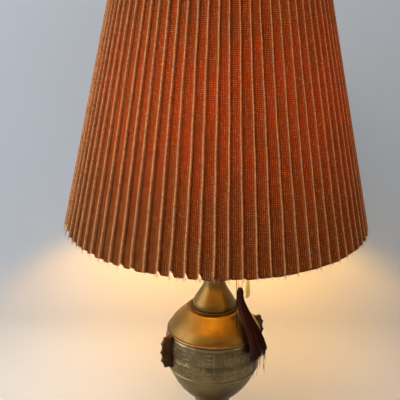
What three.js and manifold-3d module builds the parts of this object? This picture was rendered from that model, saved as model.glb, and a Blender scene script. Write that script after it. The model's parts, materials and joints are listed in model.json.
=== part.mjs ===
// Table lamp: a turned brass vase with a cast band, two lamp holders on a pull-switch housing,
// and a pleated cloth shade clamped under a finial. Millimetres, +Z up, origin on the table
// under the middle of the foot. The front of the lamp faces -Y.

import * as THREE from 'three';
import { mergeVertices } from 'three/addons/utils/BufferGeometryUtils.js';
import Module from 'manifold-3d';

const wasm = await Module();
wasm.setup();

// Clearances
const SEAT_GAP = 0.3;            // between two pieces that rest on each other
const SLIP_GAP = 0.3;            // round a piece that sits in a hole
const RUNNING_GAP = 0.35;        // round a piece that turns in a hole

// Overall places
const SHADE_BOTTOM_Z = 440;      // lower edge of the shade above the table
const SHADE_HEIGHT = 345;        // 13 1/2 inch slope height, measured upright
const SHADE_TOP_Z = SHADE_BOTTOM_Z + SHADE_HEIGHT;

// Shade cover
const SHADE_BOTTOM_RADIUS = 216; // over the folds, a 17 inch shade
const SHADE_TOP_RADIUS = 140;    // over the folds, an 11 inch top
const PLEAT_COUNT = 76;
const PLEAT_DEPTH_BOTTOM = 7;    // fold height, valley to ridge
const PLEAT_DEPTH_TOP = 5.5;
const PLEAT_RISE_SHARE = 0.7;    // share of a pleat that climbs to the ridge
const PLEAT_TIP_WIDTH = 1.6;     // blunt width of the ridge
const COVER_THICKNESS = 0.9;

// Shade frame
const FRAME_WIRE_RADIUS = 2;
const FRAME_RING_INSET = 7;      // from the cloth's edge to the ring's centre
const SPIDER_DROP = 20;          // the hub hangs this far below the top edge
const SPIDER_HUB_RADIUS = 13;
const SPIDER_HUB_THICKNESS = 1.8;
const SPIDER_ARM_RADIUS = 1.8;
const SPIDER_ARMS = 3;

// Vase: belly, shoulder and bowl
const BELLY_RADIUS = 72;
const SHOULDER_ARC_RADIUS = 53.7;
const SHOULDER_ARC_Z = 250.6;    // top of the straight belly
const SHOULDER_SLOPE = THREE.MathUtils.degToRad(46); // steepness of the shoulder's flank
const BOWL_ARC_RADIUS = 106.5;
const BOWL_ARC_Z = 241.5;        // bottom of the straight belly
const BOWL_BOTTOM_Z = 151;
const BAND_BOTTOM_Z = 211.6;
const BAND_TOP_Z = 269.2;
const DOME_TOP_Z = 303.8;
const SHEET_WALL = 1.6;          // spun brass
const CAST_WALL = 3;             // cast band

// Beads that frame the band
const BEAD_HEIGHT = 4;
const BEAD_PROUD = 1.4;
const BEAD_DEPTH = 6;

// Collar and neck
const COLLAR_RADIUS = 35.5;
const COLLAR_HEIGHT = 2.6;
const NECK_SKIRT_RADIUS = 31.5;
const NECK_SKIRT_HEIGHT = 6;
const NECK_HEIGHT = 65;
const NECK_TOP_RADIUS = 12.5;

// Foot, pedestal and waist
const FOOT_RADIUS = 77.5;
const FOOT_WALL_HEIGHT = 13;
const FOOT_HEIGHT = 39.5;
const FOOT_TOP_RADIUS = 44;
const FELT_THICKNESS = 2.5;
const FELT_RADIUS = 75.5;
const WEIGHT_RADIUS = 58;
const PEDESTAL_FOOT_RADIUS = 42;
const PEDESTAL_WAIST_RADIUS = 15;
const WAIST_RING_HEIGHT = 12.4;
const WAIST_RING_RADIUS = 27;
const BUSHING_HOLE_RADIUS = 4.8;
const BUSHING_BORE_RADIUS = 3.1;

// Pipe stack
const PIPE_RADIUS = 5.1;         // 1/8 IP lamp pipe
const PIPE_BORE_RADIUS = 3.2;
const PIPE_HOLE_RADIUS = PIPE_RADIUS + SLIP_GAP;
const SLEEVE_RADIUS = 7;
const RISER_RADIUS = 3.175;      // 1/4 inch rod
const RISER_HOLE_RADIUS = RISER_RADIUS + RUNNING_GAP;

// Ears on the band
const EAR_TURN = THREE.MathUtils.degToRad(28); // the ears' axis is turned from the X axis
const EAR_TOP_Z = 270;
const EAR_HEIGHT = 48;
const EAR_REACH = 88.5;          // from the lamp's axis to the middle point
const EAR_THICKNESS = 5;
const EAR_FLANGE_THICKNESS = 9;
const EAR_FLANGE_DEPTH = 3.6;
const EAR_POINT_PITCH = 14;      // between the three middle points
const EAR_POINT_STEP = 1.2;      // the outer two points stand back by this
const EAR_CORNER_STEP = 6;       // and the plate's corners by this
const EAR_SCALLOP = 2.8;         // depth of the hollows between the points
const EAR_STUD_RADIUS = 2.2;
const EAR_NUT_RADIUS = 5;
const EAR_NUT_THICKNESS = 3;
const EAR_NUT_FACE = 66.4;       // from the lamp's axis, just inside the band

// Switch housing
const HOUSING_RADIUS = 27;
const HOUSING_BOTTOM_Z = 505;
const HOUSING_HEIGHT = 33;
const HOUSING_WALL = 2;
const COVER_RISE = 9;
const SWITCH_HEIGHT = 11.5;
const SWITCH_OFFSET = 12.6;      // from the lamp's axis to the middle of a switch block

// Lamp holders
const HOLDER_TILT = THREE.MathUtils.degToRad(15);
const ARM_RADIUS = 5.5;
const ARM_BORE_RADIUS = 3.2;
const ARM_BEND = 16;
const SCREW_SHELL_RADIUS = 13.6; // inside, for a 26 mm screw cap
const CAP_HEIGHT = 20;
const HOLDER_HEIGHT = 60;
const HOLDER_LAYER_GAP = 0.25;

// Lamp bulbs
const BULB_CAP_RADIUS = 13;
const BULB_CAP_HEIGHT = 25;
const BULB_GLASS_RADIUS = 30;
const BULB_GLASS_HEIGHT = 84;
const BULB_GLASS_WALL = 1;

// Pulls: where each chain hangs, from above
const TASSEL_PULL = new THREE.Vector2(36.6, -28.5);
const DROP_PULL = new THREE.Vector2(48.5, -14);
const GUIDE_RADIUS = 3.4;
const GUIDE_BORE_RADIUS = 2.3;
const GUIDE_BEND = 6;
const GUIDE_MOUTH_RADIUS = 5;
const GUIDE_LENGTH = 14;         // from the guide's level down to its mouth
const TASSEL_GUIDE_Z = 513;
const DROP_GUIDE_Z = 528;
const CHAIN_BEAD_RADIUS = 1.6;
const CHAIN_LINK_RADIUS = 0.6;
const CHAIN_PITCH = 4.4;
const CHAIN_HIDDEN = 9;          // chain inside the guide at rest

// Tassel and drop
const COUPLING_TOP_Z = 386;
const COUPLING_LENGTH = 9;
const COUPLING_EYE_RADIUS = 3.4;
const COUPLING_WIRE = 0.7;
const TASSEL_CORD_RADIUS = 0.8;
const TASSEL_CORD_SPREAD = 2.6;
const TASSEL_HEAD_TOP_Z = 347;
const TASSEL_HEAD_HEIGHT = 9;
const TASSEL_HEAD_RADIUS = 4.2;
const TASSEL_TIP_Z = 253;
const TASSEL_TIP_WIDTH = 35;
const TASSEL_THICKNESS = 16;
const TASSEL_LEAN = 36;          // how far out from its chain the shoulder pushes the tip
const TASSEL_CLEARANCE = 0.6;    // from the skirt to the shoulder it lies on
const DROP_TOP_Z = 353;
const DROP_LENGTH = 28;
const DROP_RADIUS = 3.4;

// Finial
const FINIAL_HEIGHT = 46;
const FINIAL_RADIUS = 11;
const FINIAL_BORE_DEPTH = 13;

// Facets
const ROUND = 24;
const MEDIUM_ROUND = 16;
const SMALL_ROUND = 12;
const CHAIN_SIDES = 5;
const WIRE_SIDES = 6;

const FINISHES = {
  brass: { color: 0x9a6c30, roughness: 0.38, metalness: 1 },
  brightBrass: { color: 0xc89a3c, roughness: 0.28, metalness: 1 },
  pewter: { color: 0x6e6250, roughness: 0.6, metalness: 0.9 },
  darkBronze: { color: 0x423019, roughness: 0.55, metalness: 0.9 },
  steel: { color: 0x8c8c8a, roughness: 0.45, metalness: 1 },
  iron: { color: 0x3a3a3c, roughness: 0.8, metalness: 0.6 },
  felt: { color: 0x24402e, roughness: 1, metalness: 0 },
  moulding: { color: 0x17130f, roughness: 0.5, metalness: 0 },
  fibre: { color: 0x9a8a6c, roughness: 0.9, metalness: 0 },
  glass: { color: 0xfff3dc, roughness: 0.2, metalness: 0 },
  rustCloth: { color: 0x96431c, roughness: 0.95, metalness: 0 },
  silk: { color: 0x351013, roughness: 0.6, metalness: 0 },
  goldCord: { color: 0xc9a65a, roughness: 0.6, metalness: 0 },
};

const lamp = new THREE.Group();

// Adds one sub-part with its finish to a group
function add(name, geometry, finish, group = lamp) {
  const mesh = new THREE.Mesh(geometry, new THREE.MeshStandardMaterial(FINISHES[finish]));
  mesh.name = name;
  group.add(mesh);
  return mesh;
}

// Shares the corners of a geometry, drops empty triangles and turns its faces out
function solid(geometry) {
  const bare = geometry.index ? geometry.toNonIndexed() : geometry.clone();
  bare.deleteAttribute('normal');
  bare.deleteAttribute('uv');
  const merged = mergeVertices(bare, 1e-4);
  const position = merged.getAttribute('position');
  const index = merged.getIndex().array;
  const kept = [];
  let volume = 0;
  const [a, b, c] = [new THREE.Vector3(), new THREE.Vector3(), new THREE.Vector3()];
  for (let i = 0; i < index.length; i += 3) {
    const [ia, ib, ic] = [index[i], index[i + 1], index[i + 2]];
    if (ia === ib || ib === ic || ic === ia) continue;
    kept.push(ia, ib, ic);
    a.fromBufferAttribute(position, ia);
    b.fromBufferAttribute(position, ib);
    c.fromBufferAttribute(position, ic);
    volume += a.dot(b.cross(c));
  }
  if (volume < 0) {
    for (let i = 0; i < kept.length; i += 3) [kept[i], kept[i + 1]] = [kept[i + 1], kept[i]];
  }
  merged.setIndex(kept);
  return merged;
}

function toManifold(geometry) {
  const clean = solid(geometry);
  return new wasm.Manifold(new wasm.Mesh({
    numProp: 3,
    vertProperties: new Float32Array(clean.getAttribute('position').array),
    triVerts: new Uint32Array(clean.getIndex().array),
  }));
}

function fromManifold(manifold) {
  const mesh = manifold.getMesh();
  const geometry = new THREE.BufferGeometry();
  geometry.setAttribute('position', new THREE.BufferAttribute(new Float32Array(mesh.vertProperties), 3));
  geometry.setIndex([...mesh.triVerts]);
  return solid(geometry);
}

function join(...geometries) {
  return fromManifold(geometries.map(toManifold).reduce((sum, next) => sum.add(next)));
}

function cut(body, ...tools) {
  return fromManifold(tools.map(toManifold).reduce((rest, tool) => rest.subtract(tool), toManifold(body)));
}

// Revolves a closed outline of [radius, height] pairs about the Z axis
function turned(outline, segments = ROUND) {
  const points = outline.map(([r, z]) => new THREE.Vector2(r, z));
  const onAxis = points[0].x === 0 && points[points.length - 1].x === 0;
  if (!onAxis) points.push(points[0].clone());
  const geometry = new THREE.LatheGeometry(points, segments);
  geometry.rotateX(Math.PI / 2);
  return solid(geometry);
}

// Points of an arc in the outline plane, from one angle to another, both ends included
function arc(centreR, centreZ, radius, from, to, steps) {
  const points = [];
  for (let i = 0; i <= steps; i += 1) {
    const angle = from + ((to - from) * i) / steps;
    points.push([centreR + radius * Math.cos(angle), centreZ + radius * Math.sin(angle)]);
  }
  return points;
}

// Points of a smooth curve through [radius, height] pairs
function smooth(knots, steps) {
  const curve = new THREE.SplineCurve(knots.map(([r, z]) => new THREE.Vector2(r, z)));
  return curve.getPoints(steps).map((p) => [p.x, p.y]);
}

// A round or hollow bar swept along a curve
function swept(curve, radius, steps, sides, boreRadius = 0) {
  const section = new THREE.Shape();
  for (let i = 0; i < sides; i += 1) {
    const angle = (i * 2 * Math.PI) / sides;
    const [x, y] = [radius * Math.cos(angle), radius * Math.sin(angle)];
    if (i === 0) section.moveTo(x, y);
    else section.lineTo(x, y);
  }
  section.closePath();
  if (boreRadius > 0) {
    const bore = new THREE.Path();
    for (let i = 0; i < sides; i += 1) {
      const angle = (-i * 2 * Math.PI) / sides;
      const [x, y] = [boreRadius * Math.cos(angle), boreRadius * Math.sin(angle)];
      if (i === 0) bore.moveTo(x, y);
      else bore.lineTo(x, y);
    }
    bore.closePath();
    section.holes.push(bore);
  }
  return solid(new THREE.ExtrudeGeometry(section, { steps, extrudePath: curve, bevelEnabled: false }));
}

// A six-sided nut with a round hole, standing on a height
function hexNut(cornerRadius, holeRadius, bottomZ, height) {
  const outline = new THREE.Shape();
  for (let i = 0; i < 6; i += 1) {
    const [x, y] = [cornerRadius * Math.cos((i * Math.PI) / 3), cornerRadius * Math.sin((i * Math.PI) / 3)];
    if (i === 0) outline.moveTo(x, y);
    else outline.lineTo(x, y);
  }
  outline.closePath();
  const hole = new THREE.Path();
  hole.absarc(0, 0, holeRadius, 0, 2 * Math.PI, true);
  outline.holes.push(hole);
  const nut = new THREE.ExtrudeGeometry(outline, { depth: height, bevelEnabled: false, curveSegments: 6 });
  nut.translate(0, 0, bottomZ);
  return solid(nut);
}

// A closed wire ring about the Z axis
function wireRing(radius, wireRadius, z, segments) {
  const section = arc(radius, z, wireRadius, 0, (2 * Math.PI * (WIRE_SIDES - 1)) / WIRE_SIDES, WIRE_SIDES - 1);
  return turned(section, segments);
}

// Outer radius of the vase at a height on its shoulder, belly or bowl
function vaseRadius(z) {
  const flankStartZ = SHOULDER_ARC_Z + SHOULDER_ARC_RADIUS * Math.sin(SHOULDER_SLOPE);
  const arcCentre = BELLY_RADIUS - SHOULDER_ARC_RADIUS;
  if (z > flankStartZ) {
    const flankStart = arcCentre + SHOULDER_ARC_RADIUS * Math.cos(SHOULDER_SLOPE);
    return flankStart - (z - flankStartZ) * Math.tan(SHOULDER_SLOPE);
  }
  if (z > SHOULDER_ARC_Z) {
    return arcCentre + Math.sqrt(SHOULDER_ARC_RADIUS ** 2 - (z - SHOULDER_ARC_Z) ** 2);
  }
  if (z >= BOWL_ARC_Z) return BELLY_RADIUS;
  return BELLY_RADIUS - BOWL_ARC_RADIUS + Math.sqrt(BOWL_ARC_RADIUS ** 2 - (z - BOWL_ARC_Z) ** 2);
}

// The vase's outline between two heights, set in by a wall
function vaseOutline(fromZ, toZ, steps, inset = 0) {
  const points = [];
  for (let i = 0; i <= steps; i += 1) {
    const z = fromZ + ((toZ - fromZ) * i) / steps;
    points.push([vaseRadius(z) - inset, z]);
  }
  return points;
}

// Foot: felt, weight, spun shell, and the cord's way in at the back
function buildFoot() {
  const footBottom = FELT_THICKNESS + SEAT_GAP;
  const footTop = footBottom + FOOT_HEIGHT;
  const wallTop = footBottom + FOOT_WALL_HEIGHT;
  const plateZ = footTop - SHEET_WALL;
  const stepRadius = FOOT_RADIUS - 13;
  const coveBottom = wallTop + 9;

  add('felt_pad', turned([[18, 0], [FELT_RADIUS, 0], [FELT_RADIUS, FELT_THICKNESS], [18, FELT_THICKNESS]]), 'felt');

  const outside = [
    [FOOT_RADIUS, footBottom],
    [FOOT_RADIUS, wallTop],
    ...arc(FOOT_RADIUS - 8, wallTop, 8, Math.PI / 8, Math.PI / 2, 2),
    [stepRadius, wallTop + 8],
    [stepRadius, coveBottom + 1],
    ...smooth([[stepRadius - 2, coveBottom + 1], [FOOT_TOP_RADIUS + 6, coveBottom + 6], [FOOT_TOP_RADIUS, footTop - 5]], 3),
    [FOOT_TOP_RADIUS, footTop],
    [PIPE_HOLE_RADIUS, footTop],
  ];
  const inside = [
    [PIPE_HOLE_RADIUS, plateZ],
    [FOOT_TOP_RADIUS - SHEET_WALL, plateZ],
    [FOOT_TOP_RADIUS - SHEET_WALL, footTop - 7],
    [stepRadius - 5, wallTop + 5],
    [FOOT_RADIUS - 9, wallTop + 5],
    [FOOT_RADIUS - SHEET_WALL, wallTop - 1],
    [FOOT_RADIUS - SHEET_WALL, footBottom],
  ];
  const bushingZ = footBottom + FOOT_WALL_HEIGHT / 2;
  const hole = new THREE.CylinderGeometry(BUSHING_HOLE_RADIUS, BUSHING_HOLE_RADIUS, 12, 12);
  hole.translate(0, FOOT_RADIUS, bushingZ);
  add('foot', cut(turned([...outside, ...inside]), hole), 'brass');

  const collar = BUSHING_HOLE_RADIUS - SLIP_GAP;
  const bushing = turned([
    [BUSHING_BORE_RADIUS, -5],
    [collar, -5],
    [collar, SEAT_GAP],
    [collar + 2.4, SEAT_GAP],
    [collar + 1.8, 2.3],
    [BUSHING_BORE_RADIUS + 0.6, 2.6],
    [BUSHING_BORE_RADIUS, 1.8],
  ], 12);
  bushing.rotateX(-Math.PI / 2);
  bushing.translate(0, FOOT_RADIUS, bushingZ);
  add('cord_bushing', bushing, 'moulding');

  const weightBottom = footBottom + 9.5;
  const weightTop = plateZ - SEAT_GAP;
  add('foot_weight', turned([
    [PIPE_HOLE_RADIUS, weightBottom],
    [WEIGHT_RADIUS, weightBottom],
    [WEIGHT_RADIUS, weightBottom + 7],
    [FOOT_TOP_RADIUS - SHEET_WALL - 12, weightTop],
    [PIPE_HOLE_RADIUS, weightTop],
  ]), 'iron');

  const washerTop = weightBottom - SEAT_GAP;
  const washerBottom = washerTop - 1.5;
  add('pipe_washer', turned([
    [PIPE_HOLE_RADIUS, washerBottom],
    [14, washerBottom],
    [14, washerTop],
    [PIPE_HOLE_RADIUS, washerTop],
  ], SMALL_ROUND), 'steel');
  const nutHeight = 5;
  add('pipe_nut', hexNut(9, PIPE_HOLE_RADIUS, washerBottom - SEAT_GAP - nutHeight, nutHeight), 'steel');
  return footTop;
}

// Pedestal, waist ring and the spun bowl above them
function buildPedestal(footTop) {
  const bottom = footTop + SEAT_GAP;
  const ringTop = BOWL_BOTTOM_Z - SEAT_GAP;
  const ringBottom = ringTop - WAIST_RING_HEIGHT;
  const top = ringBottom - SEAT_GAP;
  const height = top - bottom;
  add('pedestal', turned([
    [PIPE_HOLE_RADIUS, bottom],
    [PEDESTAL_FOOT_RADIUS - 1, bottom],
    ...arc(PEDESTAL_FOOT_RADIUS - 2, bottom + 3, 3, -Math.PI / 4, Math.PI / 2, 2),
    ...smooth([
      [PEDESTAL_FOOT_RADIUS - 6, bottom + 6.5],
      [PEDESTAL_FOOT_RADIUS - 18, bottom + height * 0.22],
      [PEDESTAL_WAIST_RADIUS + 2, bottom + height * 0.52],
      [PEDESTAL_WAIST_RADIUS, bottom + height * 0.8],
      [PEDESTAL_WAIST_RADIUS + 2.5, bottom + height * 0.93],
      [PEDESTAL_WAIST_RADIUS + 6, top],
    ], 7),
    [PIPE_HOLE_RADIUS, top],
  ]), 'brass');

  const half = WAIST_RING_HEIGHT / 2;
  add('waist_ring', turned([
    [PIPE_HOLE_RADIUS, ringBottom],
    [WAIST_RING_RADIUS - half, ringBottom],
    ...arc(WAIST_RING_RADIUS - half, ringBottom + half, half, -Math.PI / 3, Math.PI / 3, 3),
    [WAIST_RING_RADIUS - half, ringTop],
    [PIPE_HOLE_RADIUS, ringTop],
  ]), 'brass');

  const bowlTop = BAND_BOTTOM_Z - BEAD_HEIGHT / 2 - SEAT_GAP;
  const floorZ = BOWL_BOTTOM_Z + 3;
  add('bowl', turned([
    [PIPE_HOLE_RADIUS, BOWL_BOTTOM_Z],
    ...vaseOutline(BOWL_BOTTOM_Z, bowlTop, 7),
    ...vaseOutline(floorZ + 3, bowlTop, 2, SHEET_WALL * 2).reverse(),
    [PIPE_HOLE_RADIUS, floorZ],
  ]), 'brass');
}

// A half-round bead let in between two pieces of the vase
function bead(z) {
  const half = BEAD_HEIGHT / 2;
  const face = vaseRadius(z);
  return turned([
    [face - BEAD_DEPTH, z - half],
    [face - 0.8, z - half],
    ...arc(face - half + BEAD_PROUD, z, half, -Math.PI / 3, Math.PI / 3, 2),
    [face - 0.8, z + half],
    [face - BEAD_DEPTH, z + half],
  ]);
}

// Direction of the ear's radial plane from above, turned by EAR_TURN from the X axis
function earAngle(side) {
  return side < 0 ? Math.PI + EAR_TURN : EAR_TURN;
}

// Puts a shape made in the (radius, height) plane at an angle round the lamp
function placeRadially(geometry, angle) {
  geometry.rotateX(Math.PI / 2);
  geometry.rotateZ(angle);
  return geometry;
}

// A flat plate in the (radius, height) plane, centred on that plane
function radialPlate(shape, thickness) {
  const plate = new THREE.ExtrudeGeometry(shape, { depth: thickness, bevelEnabled: false, curveSegments: 5 });
  plate.translate(0, 0, -thickness / 2);
  return plate;
}

// Scalloped ear: three points with hollows between, a root flange and a stud
function earGeometry(side) {
  const middleZ = EAR_TOP_Z - EAR_HEIGHT / 2;
  const root = BELLY_RADIUS - 8;
  const corner = EAR_REACH - EAR_CORNER_STEP;
  const scallops = [
    [EAR_REACH - EAR_POINT_STEP, -EAR_POINT_PITCH, EAR_SCALLOP / 2],
    [EAR_REACH, 0, EAR_SCALLOP],
    [EAR_REACH - EAR_POINT_STEP, EAR_POINT_PITCH, EAR_SCALLOP],
    [corner, EAR_HEIGHT / 2, EAR_SCALLOP / 2],
  ];
  const outline = new THREE.Shape();
  outline.moveTo(root, middleZ - EAR_HEIGHT / 2);
  outline.lineTo(corner, middleZ - EAR_HEIGHT / 2);
  let [fromReach, fromZ] = [corner, middleZ - EAR_HEIGHT / 2];
  for (const [reach, rise, hollow] of scallops) {
    const z = middleZ + rise;
    outline.quadraticCurveTo((fromReach + reach) / 2 - 2 * hollow, (fromZ + z) / 2, reach, z);
    [fromReach, fromZ] = [reach, z];
  }
  outline.lineTo(root, EAR_TOP_Z);
  outline.closePath();

  const flange = new THREE.Shape();
  const flangeReach = BELLY_RADIUS + EAR_FLANGE_DEPTH;
  flange.moveTo(root, EAR_TOP_Z - EAR_HEIGHT - 0.8);
  flange.lineTo(flangeReach - 1.2, EAR_TOP_Z - EAR_HEIGHT - 0.8);
  flange.lineTo(flangeReach, EAR_TOP_Z - EAR_HEIGHT + 1);
  flange.lineTo(flangeReach, EAR_TOP_Z - 0.6);
  flange.lineTo(flangeReach - 1.2, EAR_TOP_Z + 0.8);
  flange.lineTo(root, EAR_TOP_Z + 0.8);
  flange.closePath();

  const body = join(radialPlate(outline, EAR_THICKNESS), radialPlate(flange, EAR_FLANGE_THICKNESS));
  const studStart = EAR_NUT_FACE - EAR_NUT_THICKNESS - 1;
  const studEnd = BELLY_RADIUS + 6;
  const stud = new THREE.CylinderGeometry(EAR_STUD_RADIUS, EAR_STUD_RADIUS, studEnd - studStart, 12);
  stud.rotateZ(Math.PI / 2);
  stud.translate((studStart + studEnd) / 2, middleZ, 0);

  // The root follows the band, the beads and the shoulder with a small gap
  const low = BAND_BOTTOM_Z - BEAD_HEIGHT;
  const high = EAR_TOP_Z + 8;
  const seat = turned([
    [0, low],
    ...vaseOutline(low, BAND_TOP_Z - BEAD_HEIGHT / 2 - SEAT_GAP, 9, -SEAT_GAP),
    [vaseRadius(BAND_TOP_Z) + BEAD_PROUD + SEAT_GAP, BAND_TOP_Z - BEAD_HEIGHT / 2 - SEAT_GAP],
    [vaseRadius(BAND_TOP_Z) + BEAD_PROUD + SEAT_GAP, BAND_TOP_Z + BEAD_HEIGHT / 2 + SEAT_GAP],
    ...vaseOutline(BAND_TOP_Z + BEAD_HEIGHT / 2 + SEAT_GAP, high, 2, -SEAT_GAP),
    [0, high],
  ]);
  const angle = earAngle(side);
  const ear = cut(placeRadially(body, angle), seat);
  return join(ear, placeRadially(stud, angle));
}

// Cast band with its beads, and the two ears with their nuts inside
function buildBand() {
  const bottom = BAND_BOTTOM_Z + BEAD_HEIGHT / 2 + SEAT_GAP;
  const top = BAND_TOP_Z - BEAD_HEIGHT / 2 - SEAT_GAP;
  const middleZ = EAR_TOP_Z - EAR_HEIGHT / 2;
  const shell = turned([
    ...vaseOutline(bottom, top, 6),
    ...vaseOutline(bottom, top, 2, CAST_WALL * 1.1).reverse(),
  ]);
  const holes = [-1, 1].map((side) => {
    const hole = new THREE.CylinderGeometry(EAR_STUD_RADIUS + SLIP_GAP, EAR_STUD_RADIUS + SLIP_GAP, 30, 12);
    hole.rotateZ(Math.PI / 2);
    hole.translate(BELLY_RADIUS, middleZ, 0);
    return placeRadially(hole, earAngle(side));
  });
  add('band', cut(shell, ...holes), 'pewter');
  add('lower_bead', bead(BAND_BOTTOM_Z), 'pewter');
  add('upper_bead', bead(BAND_TOP_Z), 'brass');

  for (const side of [-1, 1]) {
    const label = side < 0 ? 'left' : 'right';
    add(`${label}_ear`, earGeometry(side), 'darkBronze');
    const nut = turned([
      [EAR_STUD_RADIUS + SLIP_GAP, 0],
      [EAR_NUT_RADIUS, 0],
      [EAR_NUT_RADIUS, EAR_NUT_THICKNESS],
      [EAR_STUD_RADIUS + SLIP_GAP, EAR_NUT_THICKNESS],
    ], 12);
    nut.rotateY(-Math.PI / 2);
    nut.translate(EAR_NUT_FACE, 0, middleZ);
    nut.rotateZ(earAngle(side));
    add(`${label}_ear_nut`, nut, 'steel');
  }
}

// Spun shoulder, collar bead, bell-shaped neck, its cap and lock nut
function buildShoulder() {
  const domeBottom = BAND_TOP_Z + BEAD_HEIGHT / 2 + SEAT_GAP;
  const plateZ = DOME_TOP_Z - SHEET_WALL;
  add('dome', turned([
    ...vaseOutline(domeBottom, DOME_TOP_Z, 6),
    [PIPE_HOLE_RADIUS, DOME_TOP_Z],
    [PIPE_HOLE_RADIUS, plateZ],
    ...vaseOutline(domeBottom, plateZ - 1, 2, SHEET_WALL * 2.4).reverse(),
  ]), 'brass');

  const collarBottom = DOME_TOP_Z + SEAT_GAP;
  const collarTop = collarBottom + COLLAR_HEIGHT;
  const half = COLLAR_HEIGHT / 2;
  add('collar_ring', turned([
    [NECK_TOP_RADIUS, collarBottom],
    [COLLAR_RADIUS - half, collarBottom],
    ...arc(COLLAR_RADIUS - half, collarBottom + half, half, -Math.PI / 3, Math.PI / 3, 2),
    [COLLAR_RADIUS - half, collarTop],
    [NECK_TOP_RADIUS, collarTop],
  ]), 'brass');

  const neckBottom = collarTop + SEAT_GAP;
  const neckTop = neckBottom + NECK_HEIGHT;
  const skirtTop = neckBottom + NECK_SKIRT_HEIGHT;
  const flare = [
    [NECK_SKIRT_RADIUS, skirtTop],
    [NECK_SKIRT_RADIUS - 3.3, skirtTop + 7],
    [NECK_SKIRT_RADIUS - 10, skirtTop + 18],
    [NECK_SKIRT_RADIUS - 14.4, skirtTop + 26.5],
    [NECK_TOP_RADIUS + 2.2, skirtTop + 38],
    [NECK_TOP_RADIUS, neckTop - 5],
  ];
  add('neck', turned([
    [NECK_SKIRT_RADIUS, neckBottom],
    ...smooth(flare, 7),
    [NECK_TOP_RADIUS + 2.4, neckTop - 3],
    [NECK_TOP_RADIUS, neckTop],
    [PIPE_HOLE_RADIUS, neckTop],
    [PIPE_HOLE_RADIUS, neckTop - 4],
    [NECK_TOP_RADIUS - SHEET_WALL, neckTop - 6],
    [NECK_TOP_RADIUS, skirtTop + 34],
    [NECK_SKIRT_RADIUS - 12.8, skirtTop + 16],
    [NECK_SKIRT_RADIUS - SHEET_WALL, neckBottom],
  ]), 'brass');

  const capBottom = neckTop + SEAT_GAP;
  const capTop = capBottom + 6;
  add('neck_cap', turned([
    [PIPE_HOLE_RADIUS, capBottom],
    [NECK_TOP_RADIUS - 0.5, capBottom],
    ...smooth([[NECK_TOP_RADIUS - 0.5, capBottom + 1.5], [NECK_TOP_RADIUS - 2, capBottom + 4], [8.6, capTop]], 4),
    [PIPE_HOLE_RADIUS, capTop],
  ], SMALL_ROUND), 'brass');
  const nutBottom = capTop + SEAT_GAP;
  const nutHeight = 5;
  add('neck_nut', hexNut(8.4, PIPE_HOLE_RADIUS, nutBottom, nutHeight), 'brightBrass');
  return nutBottom + nutHeight;
}

// Lamp pipe through the whole vase, and the brass sleeve over its upper part
function buildPipe(sleeveBottom) {
  const pipeBottom = FELT_THICKNESS + 1.5;
  const pipeTop = HOUSING_BOTTOM_Z + 6;
  add('lamp_pipe', turned([
    [PIPE_BORE_RADIUS, pipeBottom],
    [PIPE_RADIUS, pipeBottom],
    [PIPE_RADIUS, pipeTop],
    [PIPE_BORE_RADIUS, pipeTop],
  ], SMALL_ROUND), 'steel');

  const bottom = sleeveBottom + SEAT_GAP;
  const top = HOUSING_BOTTOM_Z - SEAT_GAP;
  add('riser_sleeve', turned([
    [PIPE_HOLE_RADIUS, bottom],
    [SLEEVE_RADIUS + 1.5, bottom],
    [SLEEVE_RADIUS + 1.5, bottom + 3],
    [SLEEVE_RADIUS, bottom + 5],
    [SLEEVE_RADIUS, top - 4],
    [SLEEVE_RADIUS + 2, top],
    [PIPE_HOLE_RADIUS, top],
  ], SMALL_ROUND), 'brass');
}

// Direction of a pull's guide from the lamp's axis
function pullAngle(pull) {
  return Math.atan2(pull.y, pull.x);
}

// A guide tube from the housing wall to its bell mouth over the hanging chain
function chainGuide(pull, z) {
  const reach = pull.length();
  const start = HOUSING_RADIUS + SEAT_GAP;
  const mouthZ = z - GUIDE_LENGTH;
  const path = new THREE.CurvePath();
  path.add(new THREE.LineCurve3(new THREE.Vector3(start, 0, z), new THREE.Vector3(reach - GUIDE_BEND, 0, z)));
  path.add(new THREE.QuadraticBezierCurve3(
    new THREE.Vector3(reach - GUIDE_BEND, 0, z),
    new THREE.Vector3(reach, 0, z),
    new THREE.Vector3(reach, 0, z - GUIDE_BEND),
  ));
  path.add(new THREE.LineCurve3(new THREE.Vector3(reach, 0, z - GUIDE_BEND), new THREE.Vector3(reach, 0, mouthZ + 2)));
  const tube = swept(path, GUIDE_RADIUS, 8, 7, GUIDE_BORE_RADIUS);
  const mouth = turned([
    [GUIDE_BORE_RADIUS, mouthZ + 3],
    [GUIDE_BORE_RADIUS + 0.4, mouthZ + 1.5],
    [GUIDE_MOUTH_RADIUS - 0.9, mouthZ],
    [GUIDE_MOUTH_RADIUS, mouthZ],
    [GUIDE_RADIUS + 0.5, mouthZ + 3],
  ], 12);
  mouth.translate(reach, 0, 0);
  const guide = join(tube, mouth);
  guide.rotateZ(pullAngle(pull));
  return guide;
}

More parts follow.
